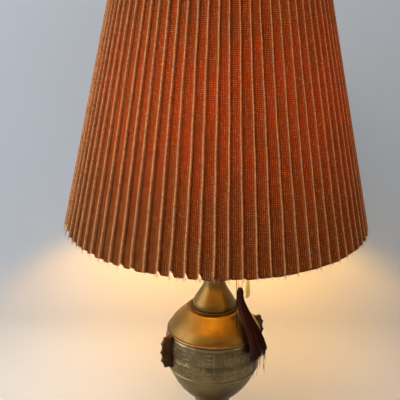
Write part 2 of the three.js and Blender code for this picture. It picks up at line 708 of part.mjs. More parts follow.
// Housing cup and cover, the two pull switches in it, and their chain guides
function buildHousing() {
  const bottom = HOUSING_BOTTOM_Z;
  const top = bottom + HOUSING_HEIGHT;
  const inner = HOUSING_RADIUS - HOUSING_WALL;
  add('switch_housing', turned([
    [PIPE_HOLE_RADIUS, bottom],
    [HOUSING_RADIUS - 9, bottom],
    ...arc(HOUSING_RADIUS - 6, bottom + 6, 6, -Math.PI / 2, 0, 3),
    [HOUSING_RADIUS, top],
    [inner, top],
    [inner, bottom + 6],
    [inner - 5, bottom + HOUSING_WALL],
    [PIPE_HOLE_RADIUS, bottom + HOUSING_WALL],
  ], MEDIUM_ROUND), 'brass');

  const coverBottom = top + SEAT_GAP;
  const bossTop = coverBottom + COVER_RISE;
  add('housing_cover', turned([
    [RISER_HOLE_RADIUS, coverBottom - 4],
    [RISER_HOLE_RADIUS + 4, coverBottom - 4],
    [RISER_HOLE_RADIUS + 4, coverBottom],
    [HOUSING_RADIUS + 0.8, coverBottom],
    [HOUSING_RADIUS + 0.8, coverBottom + 1.6],
    ...smooth([[HOUSING_RADIUS - 1, coverBottom + 2], [HOUSING_RADIUS - 9, coverBottom + 4.6], [9, bossTop - 3]], 3),
    [7, bossTop - 2.5],
    [7, bossTop],
    [RISER_HOLE_RADIUS, bossTop],
  ], MEDIUM_ROUND), 'brass');

  const block = new THREE.Shape();
  block.moveTo(-6, -5);
  block.lineTo(4, -5);
  block.quadraticCurveTo(7, -5, 7, -2);
  block.lineTo(7, 2);
  block.quadraticCurveTo(7, 5, 4, 5);
  block.lineTo(-6, 5);
  block.closePath();
  const pulls = [['tassel', TASSEL_PULL, TASSEL_GUIDE_Z], ['drop', DROP_PULL, DROP_GUIDE_Z]];
  pulls.forEach(([label, pull, guideZ], level) => {
    const body = new THREE.ExtrudeGeometry(block, { depth: SWITCH_HEIGHT, bevelEnabled: false, curveSegments: 3 });
    body.translate(SWITCH_OFFSET, 0, bottom + HOUSING_WALL + SEAT_GAP + level * (SWITCH_HEIGHT + SEAT_GAP));
    body.rotateZ(pullAngle(pull));
    add(`${label}_switch`, solid(body), 'moulding');
    add(`${label}_chain_guide`, chainGuide(pull, guideZ), 'brightBrass');
  });
  return bossTop;
}

// One lamp holder with its bulb, standing along its own +Z from the end of the arm
function buildHolder(side) {
  const label = side < 0 ? 'left' : 'right';
  const armZ = HOUSING_BOTTOM_Z + HOUSING_HEIGHT * 0.5;
  const start = new THREE.Vector3(side * (HOUSING_RADIUS + SEAT_GAP), 0, armZ);
  const foot = new THREE.Vector3(side * (HOUSING_RADIUS + ARM_BEND), 0, armZ + ARM_BEND);
  const lean = new THREE.Vector3(side * Math.sin(HOLDER_TILT), 0, Math.cos(HOLDER_TILT));
  const corner = foot.clone().addScaledVector(lean, -ARM_BEND * 0.85);
  const bend = new THREE.CubicBezierCurve3(
    start,
    new THREE.Vector3(side * (HOUSING_RADIUS + ARM_BEND * 0.6), 0, armZ),
    corner,
    foot,
  );
  add(`${label}_arm`, swept(bend, ARM_RADIUS, 6, 8, ARM_BORE_RADIUS), 'brass');

  const holder = new THREE.Group();
  holder.position.copy(foot).addScaledVector(lean, SEAT_GAP);
  holder.rotation.y = side * HOLDER_TILT;
  lamp.add(holder);

  const screwOuter = SCREW_SHELL_RADIUS + 0.5;
  const linerInner = screwOuter + HOLDER_LAYER_GAP;
  const linerOuter = linerInner + 0.5;
  const shellInner = linerOuter + HOLDER_LAYER_GAP;
  const shellOuter = shellInner + 0.7;
  const capInner = shellOuter + HOLDER_LAYER_GAP;
  const capOuter = capInner + 0.8;
  const capFloor = 2;
  const shellBottom = 11;

  add(`${label}_socket_cap`, turned([
    [ARM_BORE_RADIUS, 0],
    [7, 0],
    [7, 3],
    ...smooth([[8.5, 4.2], [13.5, 7], [capOuter, 11.5]], 3),
    [capOuter, CAP_HEIGHT - 1.5],
    [capOuter + 0.6, CAP_HEIGHT - 0.7],
    [capOuter, CAP_HEIGHT],
    [capInner, CAP_HEIGHT],
    [capInner, 10],
    [8, 5.4],
    [ARM_BORE_RADIUS, capFloor],
  ], SMALL_ROUND), 'brass', holder);
  add(`${label}_socket_shell`, turned([
    [shellInner, shellBottom],
    [shellOuter, shellBottom],
    [shellOuter, HOLDER_HEIGHT - 6],
    [shellOuter + 0.7, HOLDER_HEIGHT - 4.5],
    [shellOuter, HOLDER_HEIGHT - 3],
    [shellOuter, HOLDER_HEIGHT],
    [shellInner, HOLDER_HEIGHT],
  ], SMALL_ROUND), 'brass', holder);
  add(`${label}_socket_liner`, turned([
    [linerInner, shellBottom + 1],
    [linerOuter, shellBottom + 1],
    [linerOuter, HOLDER_HEIGHT + 1],
    [linerInner, HOLDER_HEIGHT + 1],
  ], SMALL_ROUND), 'fibre', holder);
  const bodyTop = 26;
  add(`${label}_socket_body`, turned([
    [0, 8],
    [6, 8],
    [screwOuter - 0.4, 12.5],
    [screwOuter - 0.4, bodyTop],
    [0, bodyTop],
  ], SMALL_ROUND), 'moulding', holder);
  add(`${label}_screw_shell`, turned([
    [SCREW_SHELL_RADIUS, bodyTop + SEAT_GAP],
    [screwOuter, bodyTop + SEAT_GAP],
    [screwOuter, HOLDER_HEIGHT - 5],
    [SCREW_SHELL_RADIUS, HOLDER_HEIGHT - 5],
  ], SMALL_ROUND), 'brightBrass', holder);

  const tip = bodyTop + SEAT_GAP;
  const capBottom = tip + 4;
  const capTop = capBottom + BULB_CAP_HEIGHT;
  add(`${label}_bulb_cap`, turned([
    [0, tip],
    [4, tip],
    [4.6, tip + 1.6],
    [9.5, capBottom],
    [BULB_CAP_RADIUS, capBottom + 2.5],
    [BULB_CAP_RADIUS, capTop - 3],
    [BULB_CAP_RADIUS - 0.5, capTop],
    [0, capTop],
  ], SMALL_ROUND), 'steel', holder);
  const glassBottom = capTop + SEAT_GAP;
  const glassCentre = glassBottom + BULB_GLASS_HEIGHT - BULB_GLASS_RADIUS;
  const profile = (inset) => [
    [BULB_CAP_RADIUS - 0.6 - inset, glassBottom],
    [BULB_CAP_RADIUS - inset, glassBottom + 8],
    [BULB_GLASS_RADIUS * 0.62 - inset, glassBottom + 20],
    ...arc(0, glassCentre, BULB_GLASS_RADIUS - inset, -Math.PI / 5.5, Math.PI / 2.4, 4),
    [0, glassCentre + BULB_GLASS_RADIUS - inset],
  ];
  add(`${label}_bulb_glass`, turned([
    ...profile(0).reverse(),
    ...profile(BULB_GLASS_WALL),
  ], SMALL_ROUND), 'glass', holder);
}

// Ball chain hanging straight down, one turned string of beads and links
function ballChain(topZ, bottomZ) {
  const beads = Math.max(2, Math.round((topZ - bottomZ) / CHAIN_PITCH));
  const pitch = (topZ - bottomZ) / beads;
  const outline = [[0, bottomZ]];
  for (let i = 0; i < beads; i += 1) {
    const z = bottomZ + i * pitch;
    outline.push([CHAIN_BEAD_RADIUS, z + pitch / 2]);
    if (i < beads - 1) outline.push([CHAIN_LINK_RADIUS, z + pitch]);
  }
  outline.push([0, topZ]);
  return turned(outline, CHAIN_SIDES);
}

// Half thickness of the skirt from front to back, and half width across, at a share of its length
function skirtHalfThickness(share) {
  return THREE.MathUtils.lerp(TASSEL_HEAD_RADIUS - 0.6, TASSEL_THICKNESS / 2, share);
}

function skirtHalfWidth(share) {
  return THREE.MathUtils.lerp(TASSEL_HEAD_RADIUS - 0.2, TASSEL_TIP_WIDTH / 2, share);
}

// The skirt hangs from its head, lies on the shoulder and drapes over the belly
function skirtGeometry() {
  const headBottom = TASSEL_HEAD_TOP_Z - TASSEL_HEAD_HEIGHT - SEAT_GAP;
  const stations = 11;
  const strands = 12;
  const positions = [];
  for (let i = 0; i <= stations; i += 1) {
    const share = i / stations;
    const z = THREE.MathUtils.lerp(headBottom, TASSEL_TIP_Z, share);
    const deep = skirtHalfThickness(share);
    const wide = skirtHalfWidth(share);
    const proud = z < BAND_TOP_Z + BEAD_HEIGHT ? BEAD_PROUD : 0;
    const rest = vaseRadius(Math.min(z, DOME_TOP_Z)) + proud + TASSEL_CLEARANCE + deep;
    const hang = TASSEL_PULL.length() + TASSEL_LEAN * THREE.MathUtils.smoothstep(share, 0, 1);
    const centre = Math.max(rest, hang);
    for (let k = 0; k < strands; k += 1) {
      const angle = (k * 2 * Math.PI) / strands;
      const flute = k % 2 === 0 ? 1 : 0.88;
      positions.push(centre + deep * flute * Math.cos(angle), wide * flute * Math.sin(angle), z);
    }
  }
  const index = [];
  for (let i = 0; i < stations; i += 1) {
    for (let k = 0; k < strands; k += 1) {
      const a = i * strands + k;
      const b = i * strands + ((k + 1) % strands);
      index.push(a, b, a + strands, b, b + strands, a + strands);
    }
  }
  for (let k = 1; k < strands - 1; k += 1) {
    index.push(0, k + 1, k);
    const last = stations * strands;
    index.push(last, last + k, last + k + 1);
  }
  const geometry = new THREE.BufferGeometry();
  geometry.setAttribute('position', new THREE.Float32BufferAttribute(positions, 3));
  geometry.setIndex(index);
  geometry.rotateZ(pullAngle(TASSEL_PULL));
  return solid(geometry);
}

// The pull with the tassel: chain, coupling with its eye, cord loop, head and skirt
function buildTasselPull() {
  const chainTop = TASSEL_GUIDE_Z - GUIDE_LENGTH + CHAIN_HIDDEN;
  const chain = ballChain(chainTop, COUPLING_TOP_Z + SEAT_GAP);
  chain.translate(TASSEL_PULL.x, TASSEL_PULL.y, 0);
  add('tassel_chain', chain, 'brightBrass');

  const barrelBottom = COUPLING_TOP_Z - COUPLING_LENGTH;
  const barrel = turned([
    [0, barrelBottom],
    [1.6, barrelBottom],
    [2.5, barrelBottom + 1.5],
    [2.5, COUPLING_TOP_Z - 1.5],
    [1.4, COUPLING_TOP_Z],
    [0, COUPLING_TOP_Z],
  ], 10);
  const eyeZ = barrelBottom - COUPLING_EYE_RADIUS - COUPLING_WIRE * 0.4;
  const eye = new THREE.TorusGeometry(COUPLING_EYE_RADIUS, COUPLING_WIRE, 5, 14);
  eye.rotateY(Math.PI / 2);
  eye.translate(0, 0, eyeZ);
  const coupling = join(barrel, eye);
  coupling.translate(TASSEL_PULL.x, TASSEL_PULL.y, 0);
  add('chain_coupling', coupling, 'brightBrass');

  // The loop hangs in the eye, so its bend is just above the eye's lower wire
  const bendZ = eyeZ - COUPLING_EYE_RADIUS + COUPLING_WIRE + TASSEL_CORD_RADIUS + SEAT_GAP;
  const footZ = TASSEL_HEAD_TOP_Z + SEAT_GAP;
  const spread = TASSEL_CORD_SPREAD;
  const strand = new THREE.CatmullRomCurve3([
    new THREE.Vector3(-spread * 0.6, 0, footZ),
    new THREE.Vector3(-spread, 0, footZ + 8),
    new THREE.Vector3(-spread, 0, bendZ - 8),
    new THREE.Vector3(-spread * 0.62, 0, bendZ - 1.6),
    new THREE.Vector3(0, 0, bendZ),
    new THREE.Vector3(spread * 0.62, 0, bendZ - 1.6),
    new THREE.Vector3(spread, 0, bendZ - 8),
    new THREE.Vector3(spread, 0, footZ + 8),
    new THREE.Vector3(spread * 0.6, 0, footZ),
  ], false, 'centripetal');
  const loop = swept(strand, TASSEL_CORD_RADIUS, 22, 6);
  loop.translate(TASSEL_PULL.x, TASSEL_PULL.y, 0);
  add('tassel_loop', loop, 'goldCord');

  const headBottom = TASSEL_HEAD_TOP_Z - TASSEL_HEAD_HEIGHT;
  const head = turned([
    [0, headBottom],
    [TASSEL_HEAD_RADIUS - 0.6, headBottom],
    [TASSEL_HEAD_RADIUS, headBottom + 2],
    [TASSEL_HEAD_RADIUS - 0.2, TASSEL_HEAD_TOP_Z - 3],
    [TASSEL_HEAD_RADIUS - 1.4, TASSEL_HEAD_TOP_Z],
    [0, TASSEL_HEAD_TOP_Z],
  ], 12);
  head.translate(TASSEL_PULL.x, TASSEL_PULL.y, 0);
  add('tassel_head', head, 'silk');
  add('tassel_skirt', skirtGeometry(), 'silk');
}

// The other pull: chain and a turned brass drop
function buildDropPull() {
  const chainTop = DROP_GUIDE_Z - GUIDE_LENGTH + CHAIN_HIDDEN;
  const chain = ballChain(chainTop, DROP_TOP_Z + SEAT_GAP);
  chain.translate(DROP_PULL.x, DROP_PULL.y, 0);
  add('drop_chain', chain, 'brightBrass');
  const bottom = DROP_TOP_Z - DROP_LENGTH;
  const drop = turned([
    [0, bottom],
    [DROP_RADIUS * 0.5, bottom],
    ...smooth([[DROP_RADIUS * 0.75, bottom + 1.4], [DROP_RADIUS, bottom + 10], [DROP_RADIUS * 0.92, bottom + 19]], 4),
    [DROP_RADIUS * 0.7, DROP_TOP_Z - 4],
    [1.5, DROP_TOP_Z],
    [0, DROP_TOP_Z],
  ], 12);
  drop.translate(DROP_PULL.x, DROP_PULL.y, 0);
  add('chain_drop', drop, 'brightBrass');
}

// Corners of the pleated section: each pleat climbs from a valley to a blunt ridge and falls back
function pleatCorners(ridgeRadius, depth) {
  const pitch = (2 * Math.PI) / PLEAT_COUNT;
  const tip = PLEAT_TIP_WIDTH / ridgeRadius;
  const corners = [];
  for (let i = 0; i < PLEAT_COUNT; i += 1) {
    const start = i * pitch;
    corners.push([ridgeRadius - depth, start]);
    corners.push([ridgeRadius - depth * 0.06, start + pitch * PLEAT_RISE_SHARE - tip]);
    corners.push([ridgeRadius, start + pitch * PLEAT_RISE_SHARE]);
  }
  return corners.map(([r, angle]) => new THREE.Vector2(r * Math.cos(angle), r * Math.sin(angle)));
}

// The same corners moved inward by the cloth's thickness, square to both neighbouring faces
function insetCorners(corners, thickness) {
  return corners.map((corner, i) => {
    const before = corners[(i + corners.length - 1) % corners.length];
    const after = corners[(i + 1) % corners.length];
    const inward = (from, to) => {
      const run = to.clone().sub(from).normalize();
      return new THREE.Vector2(-run.y, run.x);
    };
    const n1 = inward(before, corner);
    const n2 = inward(corner, after);
    const bisector = n1.clone().add(n2).normalize();
    return corner.clone().addScaledVector(bisector, thickness / Math.max(0.5, bisector.dot(n1)));
  });
}

// Pleated cloth cover: outer and inner skins joined along the lower and upper edges
function coverGeometry() {
  const bottomOut = pleatCorners(SHADE_BOTTOM_RADIUS, PLEAT_DEPTH_BOTTOM);
  const topOut = pleatCorners(SHADE_TOP_RADIUS, PLEAT_DEPTH_TOP);
  const rings = [
    [bottomOut, SHADE_BOTTOM_Z],
    [topOut, SHADE_TOP_Z],
    [insetCorners(topOut, COVER_THICKNESS), SHADE_TOP_Z],
    [insetCorners(bottomOut, COVER_THICKNESS), SHADE_BOTTOM_Z],
  ];
  const count = bottomOut.length;
  const positions = [];
  for (const [corners, z] of rings) {
    for (const corner of corners) positions.push(corner.x, corner.y, z);
  }
  const index = [];
  for (let ring = 0; ring < rings.length; ring += 1) {
    const next = (ring + 1) % rings.length;
    for (let i = 0; i < count; i += 1) {
      const j = (i + 1) % count;
      const [a, b] = [ring * count + i, ring * count + j];
      const [c, d] = [next * count + i, next * count + j];
      index.push(a, b, d, a, d, c);
    }
  }
  const geometry = new THREE.BufferGeometry();
  geometry.setAttribute('position', new THREE.Float32BufferAttribute(positions, 3));
  geometry.setIndex(index);
  return solid(geometry);
}

// Centre radius of a frame ring that the cover's inner folds rest on
function frameRingRadius(z) {
  const innermost = (radius, depth) => Math.min(
    ...insetCorners(pleatCorners(radius, depth), COVER_THICKNESS).map((corner) => corner.length()),
  );
  const foldInside = THREE.MathUtils.lerp(
    innermost(SHADE_BOTTOM_RADIUS, PLEAT_DEPTH_BOTTOM),
    innermost(SHADE_TOP_RADIUS, PLEAT_DEPTH_TOP),
    (z - SHADE_BOTTOM_Z) / SHADE_HEIGHT,
  );
  return foldInside - SEAT_GAP - FRAME_WIRE_RADIUS;
}

// Shade: cover, two rings and the three-armed spider with its hub
function buildShade(hubZ) {
  add('shade_cover', coverGeometry(), 'rustCloth');
  const lowerZ = SHADE_BOTTOM_Z + FRAME_RING_INSET;
  const upperZ = SHADE_TOP_Z - FRAME_RING_INSET;
  const ringSegments = 36;
  add('bottom_ring', wireRing(frameRingRadius(lowerZ), FRAME_WIRE_RADIUS, lowerZ, ringSegments), 'steel');
  add('top_ring', wireRing(frameRingRadius(upperZ), FRAME_WIRE_RADIUS, upperZ, ringSegments), 'steel');

  const hubTop = hubZ + SPIDER_HUB_THICKNESS;
  const hub = turned([
    [RISER_HOLE_RADIUS, hubZ],
    [SPIDER_HUB_RADIUS, hubZ],
    [SPIDER_HUB_RADIUS, hubTop],
    [RISER_HOLE_RADIUS, hubTop],
  ], SMALL_ROUND);
  const armZ = hubTop - SPIDER_ARM_RADIUS - 0.1;
  const armEnd = frameRingRadius(upperZ) - FRAME_WIRE_RADIUS - SEAT_GAP;
  const arms = [];
  for (let i = 0; i < SPIDER_ARMS; i += 1) {
    const arm = swept(new THREE.CatmullRomCurve3([
      new THREE.Vector3(SPIDER_HUB_RADIUS - 2, 0, armZ),
      new THREE.Vector3(armEnd * 0.4, 0, armZ),
      new THREE.Vector3(armEnd * 0.72, 0, armZ + (upperZ - armZ) * 0.35),
      new THREE.Vector3(armEnd - 4, 0, upperZ - 0.8),
      new THREE.Vector3(armEnd, 0, upperZ),
    ], false, 'centripetal'), SPIDER_ARM_RADIUS, 8, 6);
    arm.rotateZ(Math.PI / 2 + (i * 2 * Math.PI) / SPIDER_ARMS);
    arms.push(arm);
  }
  add('spider', join(hub, ...arms), 'steel');
  return hubTop;
}

// Rod that carries the shade, the seat nut under the hub, and the finial above it
function buildRiserAndFinial(hubZ, hubTop) {
  const rodBottom = HOUSING_BOTTOM_Z + HOUSING_HEIGHT - 2;
  const finialBottom = hubTop + SEAT_GAP;
  const rodTop = finialBottom + FINIAL_BORE_DEPTH - 2;
  const rod = new THREE.CylinderGeometry(RISER_RADIUS, RISER_RADIUS, rodTop - rodBottom, 16);
  rod.rotateX(Math.PI / 2);
  rod.translate(0, 0, (rodTop + rodBottom) / 2);
  add('riser_rod', solid(rod), 'brass');

  const nutTop = hubZ - SEAT_GAP;
  add('hub_nut', turned([
    [RISER_HOLE_RADIUS, nutTop - 6],
    [7, nutTop - 6],
    [7, nutTop - 2],
    [8.5, nutTop - 1.5],
    [8.5, nutTop],
    [RISER_HOLE_RADIUS, nutTop],
  ], SMALL_ROUND), 'brass');

  const z = finialBottom;
  add('finial', turned([
    [0, z + FINIAL_BORE_DEPTH],
    [RISER_HOLE_RADIUS, z + FINIAL_BORE_DEPTH],
    [RISER_HOLE_RADIUS, z],
    [FINIAL_RADIUS - 1.5, z],
    [FINIAL_RADIUS - 1.5, z + 3],
    [6.5, z + 5],
    [5.4, z + 9],
    ...arc(0, z + 22, FINIAL_RADIUS, -Math.PI / 3.2, Math.PI / 3, 4),
    [4, z + 34],
    [3.2, z + 36.5],
    ...arc(0, z + FINIAL_HEIGHT - 4.5, 4.5, -Math.PI / 4, Math.PI / 3, 2),
    [0, z + FINIAL_HEIGHT],
  ], SMALL_ROUND), 'brass');
}

const footTop = buildFoot();
buildPedestal(footTop);
buildBand();
buildPipe(buildShoulder());
buildHousing();
buildHolder(-1);
buildHolder(1);
buildTasselPull();
buildDropPull();
const hubZ = SHADE_TOP_Z - SPIDER_DROP;
buildRiserAndFinial(hubZ, buildShade(hubZ));

export default lamp;
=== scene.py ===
import json
import math
import random

import bmesh
import bpy
import numpy as np
from mathutils import Matrix, Vector

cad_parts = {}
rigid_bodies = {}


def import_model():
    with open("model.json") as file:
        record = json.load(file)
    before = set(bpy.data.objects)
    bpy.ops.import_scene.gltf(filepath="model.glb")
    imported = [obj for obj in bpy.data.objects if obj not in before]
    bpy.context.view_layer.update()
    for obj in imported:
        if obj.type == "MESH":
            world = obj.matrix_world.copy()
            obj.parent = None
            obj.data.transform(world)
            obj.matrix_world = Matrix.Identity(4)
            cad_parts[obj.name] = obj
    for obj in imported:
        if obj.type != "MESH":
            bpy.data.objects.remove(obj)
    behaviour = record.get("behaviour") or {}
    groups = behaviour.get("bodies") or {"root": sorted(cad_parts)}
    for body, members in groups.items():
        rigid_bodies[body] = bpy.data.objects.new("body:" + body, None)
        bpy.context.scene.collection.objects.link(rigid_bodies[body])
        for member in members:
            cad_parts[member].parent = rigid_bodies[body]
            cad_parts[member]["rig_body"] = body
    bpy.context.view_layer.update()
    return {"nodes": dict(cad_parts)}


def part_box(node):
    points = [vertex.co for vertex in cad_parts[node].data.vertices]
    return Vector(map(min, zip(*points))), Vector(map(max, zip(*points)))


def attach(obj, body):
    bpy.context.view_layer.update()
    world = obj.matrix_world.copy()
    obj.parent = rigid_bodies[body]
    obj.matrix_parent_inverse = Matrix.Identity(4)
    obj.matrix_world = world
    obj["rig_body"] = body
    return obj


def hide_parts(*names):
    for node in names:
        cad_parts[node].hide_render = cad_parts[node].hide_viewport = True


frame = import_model()


# Foot: spun brass shell in two steps, lacquered and gone brown with age, over a cast iron
# weight. The wool felt under it is glued on, the cord bushing is pushed in at the back, and
# a plated washer and nut on the lamp pipe clamp the whole stack from below.

def outline_of(node, stand=Matrix.Identity(4)):
    """Section of a turned CAD node, as (radius, height) points in order and whether it closes."""
    same_place, on_plane = 6e-6, 4e-6
    back = stand.inverted()
    mesh = frame["nodes"][node].data
    corners = [back @ v.co for v in mesh.vertices]
    points, joined = [], []

    def new_point(r, z):
        points.append((r, z))
        joined.append(set())
        return len(points) - 1

    def place(corner):
        for i, (r, z) in enumerate(points):
            if abs(r - corner.x) < same_place and abs(z - corner.z) < same_place:
                return i
        return new_point(max(0.0, corner.x), corner.z)

    def join(a, b):
        if a != b:
            joined[a].add(b)
            joined[b].add(a)

    for face in mesh.polygons:
        ids = [i for i in face.vertices
               if abs(corners[i].y) < on_plane and corners[i].x > -on_plane / 2]
        for a, b in zip(ids, ids[1:] + ids[:1]):
            join(place(corners[a]), place(corners[b]))
    # a flat face may have no edge on the plane: its two ends are joined, or one to the axis
    ends = [i for i, near in enumerate(joined) if len(near) == 1 and points[i][0] > 1e-6]
    ends.sort(key=lambda i: (round(points[i][1], 5), points[i][0]))
    while ends:
        a = ends.pop(0)
        level = points[a][1]
        paired = ends and abs(points[ends[0]][1] - level) < 1e-5
        join(a, ends.pop(0) if paired else new_point(0.0, level))
    start = next((i for i, near in enumerate(joined) if len(near) == 1), 0)
    order, last = [start], None
    while True:
        onward = [i for i in joined[order[-1]] if i != last and (i not in order or i == start)]
        if not onward or onward[0] == start:
            break
        last = order[-1]
        order.append(onward[0])
    closes = len(joined[start]) > 1
    section = [np.array(points[i]) for i in order]
    area = sum(a[0] * b[1] - b[0] * a[1] for a, b in zip(section, section[1:] + section[:1]))
    return (section if area > 0 else section[::-1]), closes


def softened(section, closes, corner):
    """The outline with its gentle bends made into curves and its sharp corners eased. Each
    point also says how proud its corner stands: above zero is an edge, below it a groove."""
    sharp_turn, full_turn, bend_step = 0.62, 1.3, 0.09      # radians
    fade = 0.0013       # how far an edge's rubbing reaches
    count = len(section)
    run = [section[(i + 1) % count] - section[i] for i in range(count)]
    length = [max(1e-7, float(np.hypot(*v))) for v in run]
    heading = [v / l for v, l in zip(run, length)]
    inner = range(count) if closes else range(1, count - 1)
    turn = [0.0] * count
    for i in inner:
        a, b = heading[i - 1], heading[i]
        turn[i] = math.atan2(a[0] * b[1] - a[1] * b[0], float(a @ b))

    def lean(i, own):
        if not closes and i in (0, count - 1):
            if section[i][0] < 1e-6 and abs(own[0]) > abs(own[1]):
                return np.array([math.copysign(1, own[0]), 0.0])
            return own
        if abs(turn[i]) > sharp_turn:
            return own
        mean = heading[i - 1] + heading[i]
        return mean / np.hypot(*mean)

    dense = []
    for i in range(count if closes else count - 1):
        j = (i + 1) % count
        a, b = lean(i, heading[i]), lean(j, heading[i])
        bend = math.acos(min(1, float(a @ heading[i]))) + math.acos(min(1, float(b @ heading[i])))
        steps = max(1, math.ceil(bend / bend_step))
        for k in range(steps):
            t = k / steps
            at = ((2 * t**3 - 3 * t**2 + 1) * section[i] + (t**3 - 2 * t**2 + t) * length[i] * a
                  + (3 * t**2 - 2 * t**3) * section[j] + (t**3 - t**2) * length[i] * b)
            dense.append((at, turn[i] if k == 0 and abs(turn[i]) > sharp_turn else 0.0))
    if not closes:
        dense.append((section[-1], 0.0))

    eased = []
    total = len(dense)
    for i, (at, bend) in enumerate(dense):
        if bend == 0:
            eased.append((at, 0.0))
            continue
        before, after = dense[i - 1][0] - at, dense[(i + 1) % total][0] - at
        reach = [float(np.hypot(*before)), float(np.hypot(*after))]
        back = min(corner, 0.4 * reach[0], 0.4 * reach[1])
        a, b = at + before * back / reach[0], at + after * back / reach[1]
        proud = max(-1.0, min(1.0, bend / full_turn))
        faded = back + fade
        if reach[0] > 2.5 * faded:
            eased.append((at + before * faded / reach[0], 0.0))
        for t in (0, 0.25, 0.5, 0.75, 1):
            eased.append(((1 - t) ** 2 * a + 2 * t * (1 - t) * at + t * t * b, proud))
        if reach[1] > 2.5 * faded:
            eased.append((at + after * faded / reach[1], 0.0))
    return eased


def in_scene(name, data):
    """A new object of the scene, made from its mesh, lamp or camera."""
    made = bpy.data.objects.new(name, data)
    bpy.context.scene.collection.objects.link(made)
    return made


def mesh_of(name, corners, faces, **values):
    """A mesh that keeps the named values at each of its corners."""
    mesh = bpy.data.meshes.new(name)
    mesh.from_pydata([tuple(c) for c in corners], [], faces)
    for label, numbers in values.items():
        kind, field = ("FLOAT", "value") if np.ndim(numbers) == 1 else ("FLOAT_VECTOR", "vector")
        mesh.attributes.new(label, kind, "POINT").data.foreach_set(field, np.ravel(numbers))
    return mesh


def finished(name, mesh, surface, smooth_below=40):
    """Turns a mesh into a smooth-shaded object with its surface."""
    shell = bmesh.new()
    shell.from_mesh(mesh)
    bmesh.ops.remove_doubles(shell, verts=shell.verts, dist=2e-7)
    bmesh.ops.recalc_face_normals(shell, faces=shell.faces)
    shell.to_mesh(mesh)
    shell.free()
    mesh.shade_smooth()
    mesh.set_sharp_from_angle(angle=math.radians(smooth_below))
    mesh.materials.append(surface)
    return in_scene(name, mesh)


def fitted(piece, node):
    """The piece stands for its CAD node and moves with that node's body."""
    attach(piece, frame["nodes"][node]["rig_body"])
    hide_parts(node)


def spun(name, section, closes, surface, stand=Matrix.Identity(4), around=112):
    """A lathe-turned or spun piece from its softened section."""
    ring = np.array([point for point, _ in section])
    angles = np.arange(around) * 2 * math.pi / around
    corners = np.stack([
        np.outer(np.cos(angles), ring[:, 0]),
        np.outer(np.sin(angles), ring[:, 0]),
        np.tile(ring[:, 1], (around, 1)),
    ], -1).reshape(-1, 3)
    n = len(ring)
    spans = [(i, (i + 1) % n) for i in range(n if closes else n - 1)]
    faces = []
    for k in range(around):
        a, b = k * n, ((k + 1) % around) * n
        faces += [(a + i, b + i, b + j, a + j) for i, j in spans]
    mesh = mesh_of(name, [stand @ Vector(c) for c in corners], faces,
                   edge=np.tile([proud for _, proud in section], around))
    return finished(name, mesh, surface)


def respun(node, surface, stand=Matrix.Identity(4), corner=0.0004, around=112):
    """The turned piece of a CAD node, with the curves and eased corners of the real one."""
    section, closes = outline_of(node, stand)
    section = softened(section, closes, corner)
    fitted(spun("turned_" + node, section, closes, surface, stand, around), node)


def add_node(material, kind, sockets={}, **settings):
    """One shader node. A socket is given a plain value or the output that feeds it."""
    made = material.node_tree.nodes.new("ShaderNode" + kind)
    for setting, value in settings.items():
        setattr(made, setting, value)
    for name, value in sockets.items():
        if isinstance(value, bpy.types.NodeSocket):
            material.node_tree.links.new(value, made.inputs[name])
        else:
            made.inputs[name].default_value = value
    return made


def blank_surface(name):
    surface = bpy.data.materials.new(name)
    surface.use_nodes = True
    surface.node_tree.nodes.clear()
    return surface


def shown(surface, kind, sockets):
    """The surface, with a shader node of this kind on show."""
    shader = add_node(surface, kind, sockets)
    add_node(surface, "OutputMaterial", {"Surface": shader.outputs[0]})
    return surface


def kept_value(surface, label, output="Fac"):
    """What the mesh keeps at its corners under this label."""
    return add_node(surface, "Attribute", attribute_name=label).outputs[output]


def number_from(surface, operation, *values):
    """One step of arithmetic, between plain numbers or what other nodes give."""
    return add_node(surface, "Math", dict(enumerate(values)), operation=operation).outputs[0]


def mottle(surface, scale, low=0.0, high=1.0, detail=4.0, stretch=None):
    """Cloudy patches over the piece, as a value between low and high."""
    where = add_node(surface, "TexCoord").outputs["Object"]
    if stretch:
        where = add_node(surface, "Mapping", {"Vector": where, "Scale": stretch}).outputs[0]
    cloud = add_node(surface, "TexNoise", {"Vector": where, "Scale": scale, "Detail": detail})
    return add_node(surface, "MapRange", {"Value": cloud.outputs[0], "From Min": 0.36, "From Max": 0.64,
                                          "To Min": low, "To Max": high}).outputs[0]


def blend_colors(surface, share, first, second):
    """The first colour, with its share of the second over it."""
    ends = [c if isinstance(c, bpy.types.NodeSocket) else (*c, 1) for c in (first, second)]
    return add_node(surface, "Mix", {0: share, 6: ends[0], 7: ends[1]}, data_type="RGBA",
                    clamp_factor=True).outputs[2]


def rough_skin(surface, scale, height):
    """Small unevenness of the surface, height in metres."""
    grain = mottle(surface, scale, detail=3.0)
    return add_node(surface, "Bump", {
        "Height": grain, "Strength": 1.0, "Distance": height}).outputs[0]


